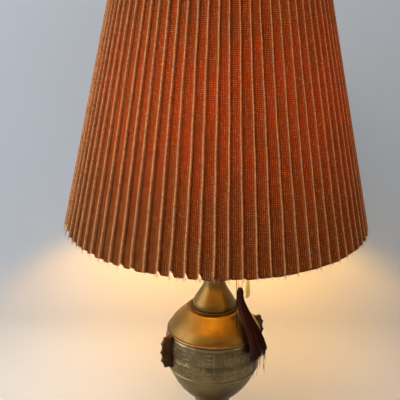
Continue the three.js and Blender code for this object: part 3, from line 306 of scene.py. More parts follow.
def metal_surface(name, clean, tarnished, roughness, tarnish=0.8, grain=0.00002, uneven=0.1,
                  pitting=0.5, lacquer=0.0, rubbing=0.55, scratch=None):
    """Metal with a cloudy tarnish, rubbed brighter on its edges and darker in its grooves. The same
    edge value can also carry a painted highlight.
    """
    patches, pits, gloss_patches, grains = 34, 520, 90, 240      # to the metre
    rubbed_and_highlit = [min(1, c * 1.35) for c in clean]
    pitted, grooved, scratched = ([c * dark for c in tarnished] for dark in (0.45, 0.3, 0.2))
    surface = blank_surface(name)
    edge = kept_value(surface, "edge")
    groove = number_from(surface, "MULTIPLY", edge, -0.75)
    rub = number_from(surface, "MULTIPLY", edge, rubbing)
    color = blend_colors(surface, mottle(surface, patches, 0.0, tarnish), clean, tarnished)
    color = blend_colors(surface, mottle(surface, pits, -1.2, pitting, 1.0), color, pitted)
    color = blend_colors(surface, groove, color, grooved)
    color = blend_colors(surface, rub, color, rubbed_and_highlit)
    if scratch:
        color = blend_colors(surface, scratch(surface), color, scratched)
    return shown(surface, "BsdfPrincipled", {
        "Base Color": color,
        "Roughness": mottle(surface, gloss_patches, roughness - uneven / 2, roughness + uneven / 2),
        "Normal": rough_skin(surface, grains, grain),
        "Metallic": 1.0, "Coat Weight": lacquer, "Coat Roughness": 0.32,
    })


def plain_surface(name, color, second, scale, roughness, grain=0.0001, grain_scale=400):
    """A dull surface of one colour with a little cloudiness and grain."""
    surface = blank_surface(name)
    return shown(surface, "BsdfPrincipled", {
        "Base Color": blend_colors(surface, mottle(surface, scale), color, second),
        "Roughness": roughness,
        "Normal": rough_skin(surface, grain_scale, grain),
    })


def eased_copy(node, surface, ease=0.0004, smooth_below=40):
    """A cast, moulded or stamped piece: the CAD node's shape with its edges rounded over."""
    edge_angle = math.radians(32)
    shape = bmesh.new()
    shape.from_mesh(frame["nodes"][node].data)
    bmesh.ops.remove_doubles(shape, verts=shape.verts, dist=3e-6)
    bmesh.ops.dissolve_limit(shape, angle_limit=0.01, verts=shape.verts, edges=shape.edges)
    sharp = [e for e in shape.edges if len(e.link_faces) == 2 and e.calc_face_angle(0) > edge_angle]
    bmesh.ops.bevel(shape, geom=sharp, offset=ease, segments=2, profile=0.5, affect="EDGES",
                    clamp_overlap=True)
    mesh = bpy.data.meshes.new(node)
    shape.to_mesh(mesh)
    shape.free()
    fitted(finished("eased_" + node, mesh, surface, smooth_below), node)


aged_brass = metal_surface("lacquered brass gone brown", (0.42, 0.235, 0.085), (0.20, 0.115, 0.045),
                           0.36, pitting=0.25)
plated_steel = metal_surface("zinc plated steel", (0.46, 0.45, 0.43), (0.30, 0.28, 0.25), 0.34, 0.6)
bare_iron = plain_surface("painted cast iron", (0.035, 0.035, 0.038), (0.055, 0.045, 0.038),
                          60, 0.75, 0.0003, 300)
green_felt = plain_surface("green wool felt", (0.020, 0.062, 0.030), (0.030, 0.085, 0.044),
                           500, 0.95, 0.0006, 900)
black_moulding = plain_surface("black moulding", (0.018, 0.015, 0.013), (0.028, 0.022, 0.018), 80, 0.42)

respun("foot", aged_brass, corner=0.0007, around=144)
respun("felt_pad", green_felt)
respun("foot_weight", bare_iron, corner=0.001)
eased_copy("cord_bushing", black_moulding, 0.0003)
eased_copy("pipe_washer", plated_steel, 0.0002)
eased_copy("pipe_nut", plated_steel)


# Pedestal and waist ring: turned brass, stacked over the pipe on the foot. The stem draws in
# to a narrow waist and opens again under the ring that carries the vase.

respun("pedestal", aged_brass, corner=0.0006)
respun("waist_ring", aged_brass, corner=0.0006)


# Bowl: the spun lower half of the vase. It is the same brass, never polished, and has gone
# a dull olive brown.

bowl_brass = metal_surface("dull olive brass", (0.245, 0.170, 0.074), (0.130, 0.094, 0.045), 0.42, 0.9)
respun("bowl", bowl_brass, around=144)


# Band: cast white metal, toned dark like old pewter, with a low key fret on a pebbled ground
# all round and its high spots rubbed light. A bead frames it below, and one of dull rose
# brass above.

BAND_STEP = 0.0007            # between points of the relief
BAND_RADIUS = 0.072
FRET_CELL_COUNT = 28
FRET_BARS = 7                 # in each cell
FRET_HEIGHT = 0.00060
FRET_MARGIN = 0.004           # along each rim
FIRST_BAR = 0.0075            # above the band's lower rim
LINE_EASE = 0.0006            # over which a line's side slopes
PEBBLE_HEIGHT = 0.00008
PEBBLE_SINK = 0.0002          # of the ground below the band's face
WORN_PATCH = 12               # in steps


def softly(edge_low, edge_high, value):
    t = np.clip((value - edge_low) / (edge_high - edge_low), 0, 1)
    return t * t * (3 - 2 * t)


def plateau(start, end, slope, value):
    """One between start and end, with a slope at each end."""
    return softly(start, start + slope, value) * (1 - softly(end - slope, end, value))


def stripe(value, centre, half_width):
    return 1 - softly(half_width, half_width + LINE_EASE, np.abs(value - centre))


def fret_relief(across, up, cell, tall, clear):
    """Height share of the fret at a place in its cell: uprights between the cells, and bars
    that spring from the left and the right upright in turn."""
    upright_half, bar_half, border_half, border_level = 0.0004, 0.00055, 0.0008, 0.0022
    left_bar, right_bar = (0.0012, 0.0128), (0.0036, cell - 0.0012)
    relief = np.maximum(stripe(across, 0, upright_half), stripe(across, cell, upright_half)) * 0.75
    relief = relief * plateau(FRET_MARGIN, tall - FRET_MARGIN, 0.0008, up)
    for k in range(FRET_BARS):
        level = FIRST_BAR + (tall - 2 * FIRST_BAR) * k / (FRET_BARS - 1)
        start, end = right_bar if k % 2 else left_bar
        bar = stripe(up, level, bar_half) * plateau(start, end, LINE_EASE, across) * clear
        relief = np.maximum(relief, bar)
    for level in (border_level, tall - border_level):
        relief = np.maximum(relief, stripe(up, level, border_half))
    return relief


toned_pewter = metal_surface("toned pewter", (0.270, 0.187, 0.086), (0.118, 0.077, 0.031), 0.45, 0.6,
                             0.00005, 0.2, 0.15, rubbing=1.0)
section, closes = outline_of("band")
wall = np.array([point for point, _ in softened(section, closes, 0.0002)])
middle = (wall[:, 0].max() + wall[:, 0].min()) / 2
low, high = wall[:, 1].min(), wall[:, 1].max()
tall = high - low
outer = sorted((z, r) for r, z in wall if r > middle - 0.0005)
inner = sorted((z, r) for r, z in section if r < middle + 0.0005)
around = int(2 * math.pi * wall[:, 0].max() / BAND_STEP)
rows = int(tall / BAND_STEP)
heights = np.linspace(low, high, rows)
back_heights = heights[::-6]
skin = np.interp(heights, [z for z, _ in outer], [r for _, r in outer])
back = np.interp(back_heights, [z for z, _ in inner], [r for _, r in inner])
angle = np.arange(around) * 2 * math.pi / around
cell = 2 * math.pi * BAND_RADIUS / FRET_CELL_COUNT
across = np.mod(angle * BAND_RADIUS, cell)[:, None] + np.zeros((1, rows))
up = (heights - low)[None, :] + np.zeros((around, 1))

# some cells are crisp, others half lost in the casting
rng = np.random.default_rng(11)
kept = rng.choice((0.12, 0.35, 1.0), FRET_CELL_COUNT + 1, p=(0.35, 0.30, 0.35))
clear = kept[np.floor(angle * BAND_RADIUS / cell).astype(int)][:, None]
relief = fret_relief(across, up, cell, tall, clear)
pebbles = rng.normal(size=(around, rows))
for axis in (0, 1):
    pebbles = sum(w * np.roll(pebbles, k - 1, axis) for k, w in enumerate((0.25, 0.5, 0.25)))
pebbles = pebbles / pebbles.std()
worn = rng.normal(size=(around // WORN_PATCH + 1, rows // WORN_PATCH + 2))
worn = np.kron(worn, np.ones((WORN_PATCH, WORN_PATCH)))[:around, :rows]
for axis in (0, 1):
    for _ in range(14):
        worn = (np.roll(worn, 1, axis) + worn + np.roll(worn, -1, axis)) / 3
worn = np.clip(0.62 + 0.38 * worn / worn.std(), 0.15, 1)
fade = plateau(0, tall, 0.0014, up)
lift = FRET_HEIGHT * relief * worn + PEBBLE_HEIGHT * pebbles * (1 - 0.6 * relief) - PEBBLE_SINK

radius = np.hstack([skin[None, :] + lift * fade, np.tile(back, (around, 1))])
level = np.concatenate([heights, back_heights])
rubbed_and_highlit = np.clip(relief * worn * 1.1 + 0.20 * pebbles - 0.15, -1, 1) * fade
# painted highlight: a bright line all round the band's top rim, standing in for the glint of the light
# along it
painted_rim_highlight = 0.9 * stripe(up, tall - 0.0008, 0.0005)
edge = np.hstack([rubbed_and_highlit + painted_rim_highlight, np.zeros((around, len(back)))])
n = len(level)
corners = np.stack([radius * np.cos(angle)[:, None], radius * np.sin(angle)[:, None],
                    np.tile(level, (around, 1))], -1)
first = np.arange(around)[:, None] * n
second = np.roll(first, -1, 0)
i = np.arange(n)[None, :]
j = (i + 1) % n
faces = np.stack([first + i, second + i, second + j, first + j], -1).reshape(-1, 4)
mesh = mesh_of("band", corners.reshape(-1, 3), faces.tolist(), edge=edge.reshape(-1))
fitted(finished("cast_band", mesh, toned_pewter, 60), "band")

bead_brass = metal_surface("dull rose brass", (0.27, 0.150, 0.075), (0.18, 0.100, 0.050), 0.42, 0.5,
                           rubbing=0.15)
respun("lower_bead", bowl_brass, corner=0.0003, around=144)
respun("upper_bead", bead_brass, corner=0.0003, around=144)


# Ears: a pair of cast scalloped plates in dark bronze, each on a stud through the band with
# a small round nut inside.

dark_bronze = metal_surface("dark bronze", (0.120, 0.056, 0.023), (0.058, 0.030, 0.014), 0.55, 0.9,
                            0.00012, 0.2)
for side in ("left", "right"):
    eased_copy(side + "_ear", dark_bronze, 0.0007, 50)
    eased_copy(side + "_ear_nut", plated_steel, 0.0003)


# Shoulder: the spun brass dome, a collar bead, and the bell-shaped neck whose short upright
# skirt stands on it. A turned cap and a hexagonal nut clamp them. This is the best kept
# brass of the lamp, satin and golden, with one small scratch on the dome.

def dome_scratch(surface):
    """A fine hooked scratch, some 18 mm long, on the dome's front."""
    start, level, half_width, hooked = 0.0035, 0.2885, 0.00026, -70.0
    middle, half_length = 0.0015, 0.0092
    place = add_node(surface, "TexCoord").outputs["Object"]
    at = add_node(surface, "SeparateXYZ", {0: place}).outputs
    aside = number_from(surface, "ADD", at[0], start)
    hook = number_from(surface, "MINIMUM", aside, 0.0)
    bow = number_from(surface, "MULTIPLY", hook, hook)
    curve = number_from(surface, "MULTIPLY_ADD", bow, hooked, at[2])
    on_line = number_from(surface, "COMPARE", curve, level, half_width)
    inside = number_from(surface, "COMPARE", aside, middle, half_length)
    both = number_from(surface, "MULTIPLY", on_line, inside)
    faint = number_from(surface, "MULTIPLY", both, mottle(surface, 300, 0.2, 0.9))
    return number_from(surface, "MULTIPLY", faint, number_from(surface, "LESS_THAN", at[1], 0.0))


golden_brass = metal_surface("satin golden brass", (0.28, 0.150, 0.028), (0.175, 0.092, 0.021), 0.45,
                             0.8, 0.00001, 0.08, 0.0, 0.22, 0.15)
dome_brass = metal_surface("satin golden brass of the dome", (0.31, 0.162, 0.024),
                           (0.195, 0.100, 0.018), 0.50, 0.8, 0.00001, 0.08, 0.0, 0.22, 0.12,
                           dome_scratch)
respun("dome", dome_brass, around=144)
# The collar bead takes the dark bronze: partly its own dark patina, partly painted shade for the groove
# under the neck's skirt.
respun("collar_ring", dark_bronze, corner=0.0006)
respun("neck", golden_brass, corner=0.0005)
respun("neck_cap", golden_brass)
eased_copy("neck_nut", golden_brass)


# Pipe and riser sleeve: the threaded steel pipe that holds the vase together, and the brass
# tube over it that carries the switch housing.

respun("lamp_pipe", plated_steel, around=48)
respun("riser_sleeve", golden_brass, around=64)


# Switch housing: a spun brass cup and its cover, with two moulded pull switches inside. A
# bent guide tube with a bell mouth leads each chain out of the wall and down.

TASSEL_PULL = (0.0366, -0.0285)   # where the chains hang, from above
DROP_PULL = (0.0485, -0.014)
HOUSING_RADIUS = 0.027
GUIDE_RADIUS = 0.0034
GUIDE_BORE = 0.0023
GUIDE_BEND = 0.006
GUIDE_DROP = 0.014


def ring_round(at, way, across, radius, sides):
    """Corners of a ring round a path that goes this way."""
    other = way.cross(across)
    angles = [2 * math.pi * k / sides for k in range(sides)]
    return [at + radius * (math.cos(a) * across + math.sin(a) * other) for a in angles]


def strip(first, second, sides):
    """Faces between two rings, given by their first corners."""
    onward = [(k, (k + 1) % sides) for k in range(sides)]
    return [(first + k, first + j, second + j, second + k) for k, j in onward]


def tube(name, path, radius, surface, bore=0.0, sides=20):
    """A round rod or tube along a path of close points."""
    path = [Vector(p) for p in path]
    ahead = [(b - a).normalized() for a, b in zip([path[0]] + path[:-1], path[1:] + [path[-1]])]
    corners, faces = [], []
    for wall in [radius, bore] if bore else [radius]:
        across = ahead[0].orthogonal().normalized()
        for at, way in zip(path, ahead):
            across = (across - way * across.dot(way)).normalized()
            corners += ring_round(at, way, across, wall, sides)
    n = len(path)
    strips = [(k, k + 1) for k in range(n - 1)]
    if bore:
        strips += [(n + k, n + k + 1) for k in range(n - 1)] + [(0, n), (n - 1, 2 * n - 1)]
    else:
        faces += [list(range(first, first + sides)) for first in (0, (n - 1) * sides)]
    for a, b in strips:
        faces += strip(a * sides, b * sides, sides)
    return finished(name, mesh_of(name, corners, faces), surface, 50)


def merged(first, *others):
    """One object out of several that are one piece on the lamp."""
    pieces = [first, *others]
    with bpy.context.temp_override(active_object=first, selected_editable_objects=pieces,
                                   selected_objects=pieces):
        bpy.ops.object.join()
    return first


def chain_guide(pull, level):
    reach, angle = math.hypot(*pull), math.atan2(pull[1], pull[0])
    mouth = level - GUIDE_DROP
    path = [(HOUSING_RADIUS + 0.0003, level), (reach - GUIDE_BEND, level)]
    for k in range(1, 13):
        t = k / 12
        path.append((reach - GUIDE_BEND + GUIDE_BEND * (2 * t - t * t), level - GUIDE_BEND * t * t))
    path.append((reach, mouth + 0.0021))
    turn = Matrix.Rotation(angle, 4, "Z")
    bent = tube("guide", [turn @ Vector((r, 0, z)) for r, z in path], GUIDE_RADIUS, bright_brass,
                GUIDE_BORE, 24)
    bell = softened([np.array(p) for p in (
        (GUIDE_BORE, mouth + 0.003), (GUIDE_BORE + 0.0004, mouth + 0.0013), (0.0041, mouth),
        (0.005, mouth), (GUIDE_RADIUS + 0.0005, mouth + 0.003))], True, 0.0002)
    stand = turn @ Matrix.Translation((reach, 0, 0))
    return merged(bent, spun("guide_mouth", bell, True, bright_brass, stand, 32))


bright_brass = metal_surface("polished brass", (0.78, 0.50, 0.12), (0.52, 0.32, 0.09), 0.24, 0.6,
                             0.00001, 0.1, -0.2)
respun("switch_housing", golden_brass)
respun("housing_cover", golden_brass)
eased_copy("tassel_switch", black_moulding)
eased_copy("drop_switch", black_moulding)
fitted(chain_guide(TASSEL_PULL, 0.513), "tassel_chain_guide")
fitted(chain_guide(DROP_PULL, 0.528), "drop_chain_guide")


# Lamp holders: on each side a bent brass arm, and on it the spun cap and shell, a fibre
# liner, a moulded body and the screw shell. They lean out by 15 degrees. Each holds a bulb
# with a plated screw cap and a frosted glass envelope, lit to a warm glow.

HOLDER_LEAN = math.radians(15)
ARM_LEVEL = 0.5215
ARM_BEND = 0.016
ARM_RADIUS = 0.0055
ARM_BORE = 0.0032

red_fibre = plain_surface("vulcanised fibre", (0.24, 0.19, 0.12), (0.18, 0.14, 0.09), 90, 0.8)
lit_glass = blank_surface("lit frosted glass")
shown(lit_glass, "BsdfPrincipled", {
    "Base Color": (0.95, 0.88, 0.76, 1), "Roughness": 0.35,
    "Emission Color": (1.0, 0.66, 0.12, 1), "Emission Strength": 10.0})
for side, way in (("left", -1), ("right", 1)):
    lean = Vector((way * math.sin(HOLDER_LEAN), 0, math.cos(HOLDER_LEAN)))
    start = Vector((way * (HOUSING_RADIUS + 0.0003), 0, ARM_LEVEL))
    near = Vector((way * (HOUSING_RADIUS + ARM_BEND * 0.6), 0, ARM_LEVEL))
    top = Vector((way * (HOUSING_RADIUS + ARM_BEND), 0, ARM_LEVEL + ARM_BEND))
    corner = top - lean * ARM_BEND * 0.85
    path = []
    for k in range(19):
        t = k / 18
        path.append((1 - t) ** 3 * start + 3 * t * (1 - t) ** 2 * near
                    + 3 * t * t * (1 - t) * corner + t**3 * top)
    arm = tube(side + "_bent_arm", path, ARM_RADIUS, golden_brass, ARM_BORE, 32)
    fitted(arm, side + "_arm")
    stand = Matrix.Translation(top + lean * 0.0003) @ Matrix.Rotation(way * HOLDER_LEAN, 4, "Y")
    for node, slot, surface, corner in (
            ("_socket_cap", "aged_brass", golden_brass, 0.0003),
            ("_socket_shell", "aged_brass", golden_brass, 0.0002),
            ("_socket_liner", "fibre", red_fibre, 0.0001),
            ("_socket_body", "moulding", black_moulding, 0.0003),
            ("_screw_shell", "bright_brass", bright_brass, 0.0001),
            ("_bulb_cap", "steel", plated_steel, 0.0003),
            ("_bulb_glass", "bulb_glass", lit_glass, 0.0002)):
        respun(side + node, surface, stand, corner, 64)


def lamp(name, kind, place, power, color, aim=None):
    """A light of the scene, turned toward its aim if it has one."""
    light = bpy.data.lights.new(name, kind)
    light.energy, light.color = power, color
    holder = in_scene(name, light)
    holder.location = place
    if aim:
        holder.rotation_euler = (Vector(aim) - Vector(place)).to_track_quat("-Z", "Y").to_euler()
    return holder


# Light that the shade's inside throws back and forth between the bulbs.
glow = lamp("glow between the bulbs", "POINT", (-0.035, -0.03, 0.625), 4.6, (1.0, 0.66, 0.08))
glow.data.shadow_soft_size = 0.04


# Shade frame: two plated wire rings, a three-armed spider with its stamped hub, the riser
# rod with its seat nut under the hub, and the turned finial that clamps the hub from above.

WIRE_RADIUS = 0.002


def bare(r, z, proud=0.0):
    """A point of a section that needs no softening."""
    return np.array([r, z]), proud


for node in ("bottom_ring", "top_ring"):
    low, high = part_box(node)
    centre, middle = high.x - WIRE_RADIUS, (low.z + high.z) / 2
    angles = [2 * math.pi * k / 14 for k in range(14)]
    section = [bare(centre + WIRE_RADIUS * math.cos(a), middle + WIRE_RADIUS * math.sin(a))
               for a in angles]
    fitted(spun("wire_" + node, section, True, plated_steel, around=240), node)
eased_copy("spider", plated_steel, 0.0003, 60)
respun("riser_rod", golden_brass, around=48)
respun("hub_nut", golden_brass, around=64)
respun("finial", golden_brass, around=80)


# Shade cover: coarse rust-coloured tweed, stiffened and folded into one-way knife pleats,
# glued to the two rings. Its lower edge is raw: the cloth has frayed at the folds, and the
# light of the bulbs comes through it.

PLEAT_COUNT = 76
COVER_LOW, COVER_HIGH = 0.440, 0.785
RIDGE_LOW, RIDGE_HIGH = 0.216, 0.140      # radius over the folds
DEPTH_LOW, DEPTH_HIGH = 0.007, 0.0055
RISE_SHARE = 0.7                          # where in a pleat its fold stands
CLOTH_THICKNESS = 0.0009
COVER_ROWS = 46
YARN_PITCH = (0.00128, 0.00108)           # across and up
# places across one pleat, how high the cloth stands there, how pale its fold is (rubbed wear, and a
# painted highlight on the crest), and how much the bulbs redden it
FOLD_ACROSS = (-0.13, -0.10, -0.06, 0.0, 0.10, 0.22, 0.34, 0.46, 0.56, 0.61, 0.645, 0.67, 0.70,
               0.725, 0.745, 0.77, 0.80, 0.84)
FOLD_HEIGHT = (0.06, 0.20, 0.36, 0.46, 0.55, 0.64, 0.72, 0.80, 0.87, 0.905, 0.94, 0.98, 1.0, 0.985,
               0.92, 0.72, 0.42, 0.14)
FOLD_PALE = (0, 0, 0, 0, 0, 0, 0, 0.02, 0.10, 0.30, 0.72, 1, 1, 1, 0.95, 0.55, 0.15, 0)
FOLD_RED = (0.1, 0.15, 0.25, 0.40, 0.75, 1, 1, 0.95, 0.65, 0.35, 0.15, 0, 0, 0, 0, 0, 0, 0.1)

# The cloth is a coarse plain weave: thick uneven yarns in rust, red, orange and tan, each thread end
# its own shade. The folds are pale, partly rubbed and partly a painted highlight on their crests; the
# gaps between the yarns are painted dark as shade, and bulb light shows through.
tweed = blank_surface("rust tweed")


def vector(operation, *values):
    """One step of arithmetic between places on the cloth."""
    made = add_node(tweed, "VectorMath", dict(enumerate(values)), operation=operation)
    return made.outputs["Value" if operation in ("LENGTH", "DOT_PRODUCT") else "Vector"]


def chance(place):
    return add_node(tweed, "TexWhiteNoise", {"Vector": place}, noise_dimensions="3D").outputs["Value"]


# each crossing of two yarns is a cell of the flat cloth, and the yarns drift a little
drift, half = (0.0009, 0.0009, 0.0), (0.5, 0.5, 0.0)
thread = kept_value(tweed, "thread", "Vector")
wobble = add_node(tweed, "TexNoise", {"Vector": thread, "Scale": 160.0, "Detail": 2.0})
weave = vector("ADD", thread, vector("MULTIPLY", wobble.outputs["Color"], drift))
scaled = vector("MULTIPLY", weave, (*(1 / pitch for pitch in YARN_PITCH), 0.0))
cell = vector("FLOOR", scaled)
# on one crossing the upright yarn lies on top, on the next the level one
turns = number_from(tweed, "FRACT", vector("DOT_PRODUCT", cell, half))
level = number_from(tweed, "GREATER_THAN", turns, 0.25)
slender = vector("MULTIPLY_ADD", level, (-0.36, 0.36, 0.0), (1.0, 0.64, 0.0))
middle = vector("SUBTRACT", vector("FRACTION", scaled), half)
off = vector("LENGTH", vector("MULTIPLY", middle, slender))
gap = add_node(tweed, "MapRange", {
    "Value": off, "From Min": 0.30, "From Max": 0.54, "To Min": 0.0, "To Max": 1.0}).outputs[0]
# a yarn keeps its shade for some seven crossings
reach = vector("MULTIPLY_ADD", level, (-0.86, 0.86, 0.0), (1.0, 0.14, 0.0))
yarn = vector("FLOOR", vector("MULTIPLY", cell, reach))
speck = number_from(tweed, "MULTIPLY", chance(cell), 0.55)
luck = number_from(tweed, "MULTIPLY_ADD", chance(yarn), 0.45, speck)
yarns = add_node(tweed, "ValToRGB", {"Fac": luck})
ramp = yarns.color_ramp
shades = (
    (0.08, (0.290, 0.076, 0.010)), (0.30, (0.380, 0.108, 0.015)), (0.50, (0.470, 0.142, 0.021)),
    (0.68, (0.560, 0.185, 0.032)), (0.80, (0.660, 0.250, 0.056)), (0.92, (0.800, 0.390, 0.120)))
while len(ramp.elements) < len(shades):
    ramp.elements.new(0.5)
for element, (position, shade) in zip(ramp.elements, shades):
    element.position, element.color = position, (*shade, 1)
# every second upright yarn is the pale one, so its crowns stand in straight rows
odd = vector("LENGTH", vector("FRACTION", vector("MULTIPLY", cell, half)))
dark = number_from(tweed, "GREATER_THAN", odd, 0.25)
deeper = vector("MULTIPLY", yarns.outputs[0], (0.23, 0.17, 0.18))
crossed = blend_colors(tweed, dark, yarns.outputs[0], deeper)
# painted shade: the gaps between the yarns are painted near black
painted_gap_shade = blend_colors(tweed, gap, crossed, (0.036, 0.009, 0.002))
fluff = mottle(tweed, 420, 0.45, 1.2, 3.0)
# pale folds: rubbed wear, and a painted highlight along each crest
rubbed_and_highlit = number_from(tweed, "MULTIPLY", kept_value(tweed, "ridge"), fluff)
bump = add_node(tweed, "Bump", {"Height": off, "Strength": 1.0, "Distance": 0.00045})
bump.invert = True
face = add_node(tweed, "BsdfPrincipled", {
    "Base Color": blend_colors(tweed, rubbed_and_highlit, painted_gap_shade, (0.74, 0.34, 0.14)),
    "Roughness": 0.95, "Normal": bump.outputs[0], "Specular IOR Level": 0.04})
# what of the bulbs' light comes through
red = kept_value(tweed, "red")
through = blend_colors(tweed, red, (0.42, 0.115, 0.012), (1.0, 0.070, 0.060))
dense = number_from(tweed, "MULTIPLY", dark, 0.45)
crossing = blend_colors(tweed, dense, through, (0.30, 0.020, 0.012))
tinted = blend_colors(tweed, gap, crossing, (0.34, 0.035, 0.012))
lit = add_node(tweed, "BsdfTranslucent", {"Color": tinted})
shown(tweed, "MixShader", {
    0: 0.19, 1: face.outputs[0], 2: lit.outputs[0]})

# Its cream paper-backed inside throws the bulbs' light about, and lets some of it through.
lining = blank_surface("cream lining")
cream = blend_colors(lining, mottle(lining, 60), (0.78, 0.62, 0.28), (0.70, 0.53, 0.22))
face = add_node(lining, "BsdfPrincipled", {
    "Base Color": cream, "Roughness": 0.9, "Normal": rough_skin(lining, 700, 0.0001),
    "Specular IOR Level": 0.1})
lit = add_node(lining, "BsdfTranslucent", {"Color": (0.86, 0.62, 0.40, 1)})
shown(lining, "MixShader", {0: 0.3, 1: face.outputs[0], 2: lit.outputs[0]})

# The pleats, each a little out of true, and the raw edge torn in at the folds.
rng = np.random.default_rng(76)
columns = len(FOLD_ACROSS)
fold = np.array(FOLD_HEIGHT)
nearness = np.clip(1 - np.abs(np.array(FOLD_ACROSS) - RISE_SHARE) / 0.30, 0, 1)
up = np.linspace(0, 1, COVER_ROWS) ** 1.35
shift = rng.normal(0, 0.035, PLEAT_COUNT).clip(-0.08, 0.08)
lean = rng.normal(0, 0.03, PLEAT_COUNT).clip(-0.07, 0.07)
shallow = 1 - np.abs(rng.normal(0, 0.05, PLEAT_COUNT)).clip(0, 0.14)
notch = 0.0007 + 0.0085 * rng.random(PLEAT_COUNT) ** 5
notch[[52, 53, 54, 56]] = 0.0050, 0.0085, 0.0075, 0.0055      # the deepest, at the front
sag = rng.uniform(0.0, 0.0010, PLEAT_COUNT)
wave = rng.uniform(0, 2 * math.pi, (3, PLEAT_COUNT))
ridge, red = np.zeros((2, PLEAT_COUNT, columns, COVER_ROWS))
corners, thread = np.zeros((2, PLEAT_COUNT, columns, COVER_ROWS, 3))
flat = 0.0
for i in range(PLEAT_COUNT):
    for k, t in enumerate(FOLD_ACROSS):
        ends = 0.0022 * fold[k] ** 2 + 0.0006 * (1 - fold[k]) ** 6
        tear = notch[i] * math.exp(-(((t - RISE_SHARE - 0.06) / 0.08) ** 2))
        low = COVER_LOW + ends + tear + sag[i]
        z = low + (COVER_HIGH - low) * up
        rise = (z - COVER_LOW) / (COVER_HIGH - COVER_LOW)
        top = RIDGE_LOW + (RIDGE_HIGH - RIDGE_LOW) * rise
        depth = DEPTH_LOW + (DEPTH_HIGH - DEPTH_LOW) * rise
        wander = shift[i] + lean[i] * (rise - 0.5)
        wander += 0.026 * np.sin(rise * 9 + wave[0, i]) + 0.016 * np.sin(rise * 31 + wave[1, i])
        angle = (i + t + wander * nearness[k]) * 2 * math.pi / PLEAT_COUNT
        give = 0.0004 * np.sin(rise * 14 + wave[2, i]) * (1 - nearness[k])
        radius = top - depth * shallow[i] * (1 - fold[k]) - np.abs(give) * fold[k] - 0.0001
        corners[i, k] = np.stack([radius * np.cos(angle), radius * np.sin(angle), z], -1)
        ridge[i, k] = FOLD_PALE[k]
        patches = 0.75 + 0.25 * np.sin(rise * 11 + wave[1, i] * 2)
        patches += 0.2 * np.sin(rise * 23 + wave[2, i])
        red[i, k] = FOLD_RED[k] * patches * np.clip((rise - 0.02) / 0.30, 0.15, 1)
        if k or i:
            near = corners[i, k - 1] if k else corners[i - 1, -1]
            flat += float(np.hypot(*(corners[i, k, 0] - near[0])[:2]))
        # the cloth laid flat: along the edge, up its slope, and which pleat
        thread[i, k] = np.stack([np.full(COVER_ROWS, flat), z * 1.024, np.full(COVER_ROWS, i)], -1)
column = np.arange(PLEAT_COUNT * columns)[:, None] * COVER_ROWS
onward = np.roll(column, -1, 0)
i = np.arange(COVER_ROWS - 1)[None, :]
faces = np.stack([column + i, onward + i, onward + i + 1, column + i + 1], -1).reshape(-1, 4)
mesh = mesh_of("pleated_cover", corners.reshape(-1, 3), faces.tolist(), ridge=ridge.reshape(-1),
               red=red.reshape(-1), thread=thread.reshape(-1, 3))
mesh.shade_smooth()
mesh.set_sharp_from_angle(angle=math.radians(50))
mesh.materials.append(tweed)
mesh.materials.append(lining)
cover = in_scene("pleated_cover", mesh)
cloth = cover.modifiers.new("cloth thickness", "SOLIDIFY")
cloth.thickness = CLOTH_THICKNESS
cloth.offset = -1
cloth.material_offset = 1
fitted(cover, "shade_cover")


# Frayed ends: single yarns that have worked loose along the cover's raw lower edge. They move with the
# cover.

FRAYED_COUNT = 380
FRAYED_RADIUS = 0.00022
FRAYED_ROOT = 0.0035          # above the edge


def hair_bundle(name, paths, radius, surface, sides=4):
    """Many thin yarns as one object."""
    corners, faces, shades = [], [], []
    dice = random.Random(3)
    for path in paths:
        points = [Vector(p) for p in path]
        first = len(corners)
        shades += [dice.random() ** 4] * (len(points) * sides)
        side = Vector((0.3, 1, 0.1))
        for k, at in enumerate(points):
            way = (points[min(k + 1, len(points) - 1)] - points[max(k - 1, 0)]).normalized()
            side = (side - way * side.dot(way)).normalized()
            thin = radius * (0.45 if k == len(points) - 1 else 1)
            corners += ring_round(at, way, side, thin, sides)
        for ring in range(first, len(corners) - sides, sides):
            faces += strip(ring, ring + sides, sides)
        faces += [range(end, end + sides) for end in (first, len(corners) - sides)]
    return finished(name, mesh_of(name, corners, faces, shade=shades), surface, 80)


pale_yarn = plain_surface("pale yarn", (0.62, 0.40, 0.22), (0.34, 0.14, 0.05), 700, 0.9)
rng = random.Random(5)
paths = []
for _ in range(FRAYED_COUNT):
    pleat = rng.randrange(PLEAT_COUNT)
    share = rng.choice((rng.gauss(RISE_SHARE + 0.02, 0.05), rng.random()))
    height = np.interp((share + 0.13) % 1 - 0.13, FOLD_ACROSS + (0.87,), FOLD_HEIGHT + (0.02,))
    radius = RIDGE_LOW - DEPTH_LOW * (1 - height) - 0.0005
    angle = (pleat + share) * 2 * math.pi / PLEAT_COUNT
    length = rng.uniform(0.0008, 0.0045)
    out, along = rng.uniform(-0.0008, 0.0012), rng.uniform(-0.0022, 0.0022)
    path = []
    for t in (0, 0.25, 0.5, 0.75, 1):
        r, a = radius + out * t * t, angle + along * t * t / radius
        z = COVER_LOW + FRAYED_ROOT - (FRAYED_ROOT + length * 0.75) * t
        path.append((r * math.cos(a), r * math.sin(a), z))
    paths.append(path)
fray = hair_bundle("frayed_ends", paths, FRAYED_RADIUS, pale_yarn)
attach(fray, "shade")


# Tassel pull: a brass ball chain with a barrel coupling and its eye, a loop of gold cord
# through the eye, the bound head, and the skirt of loose maroon silk that lies over the
# shoulder.

BEAD_RADIUS = 0.0016
BEAD_PITCH = 0.0044
LINK_RADIUS = 0.00042
SKIRT_END = 0.253             # height of the tips of the silk
LOCK_COUNT, STRAND_COUNT = 110, 1150
STRAND_RADIUS = 0.00024


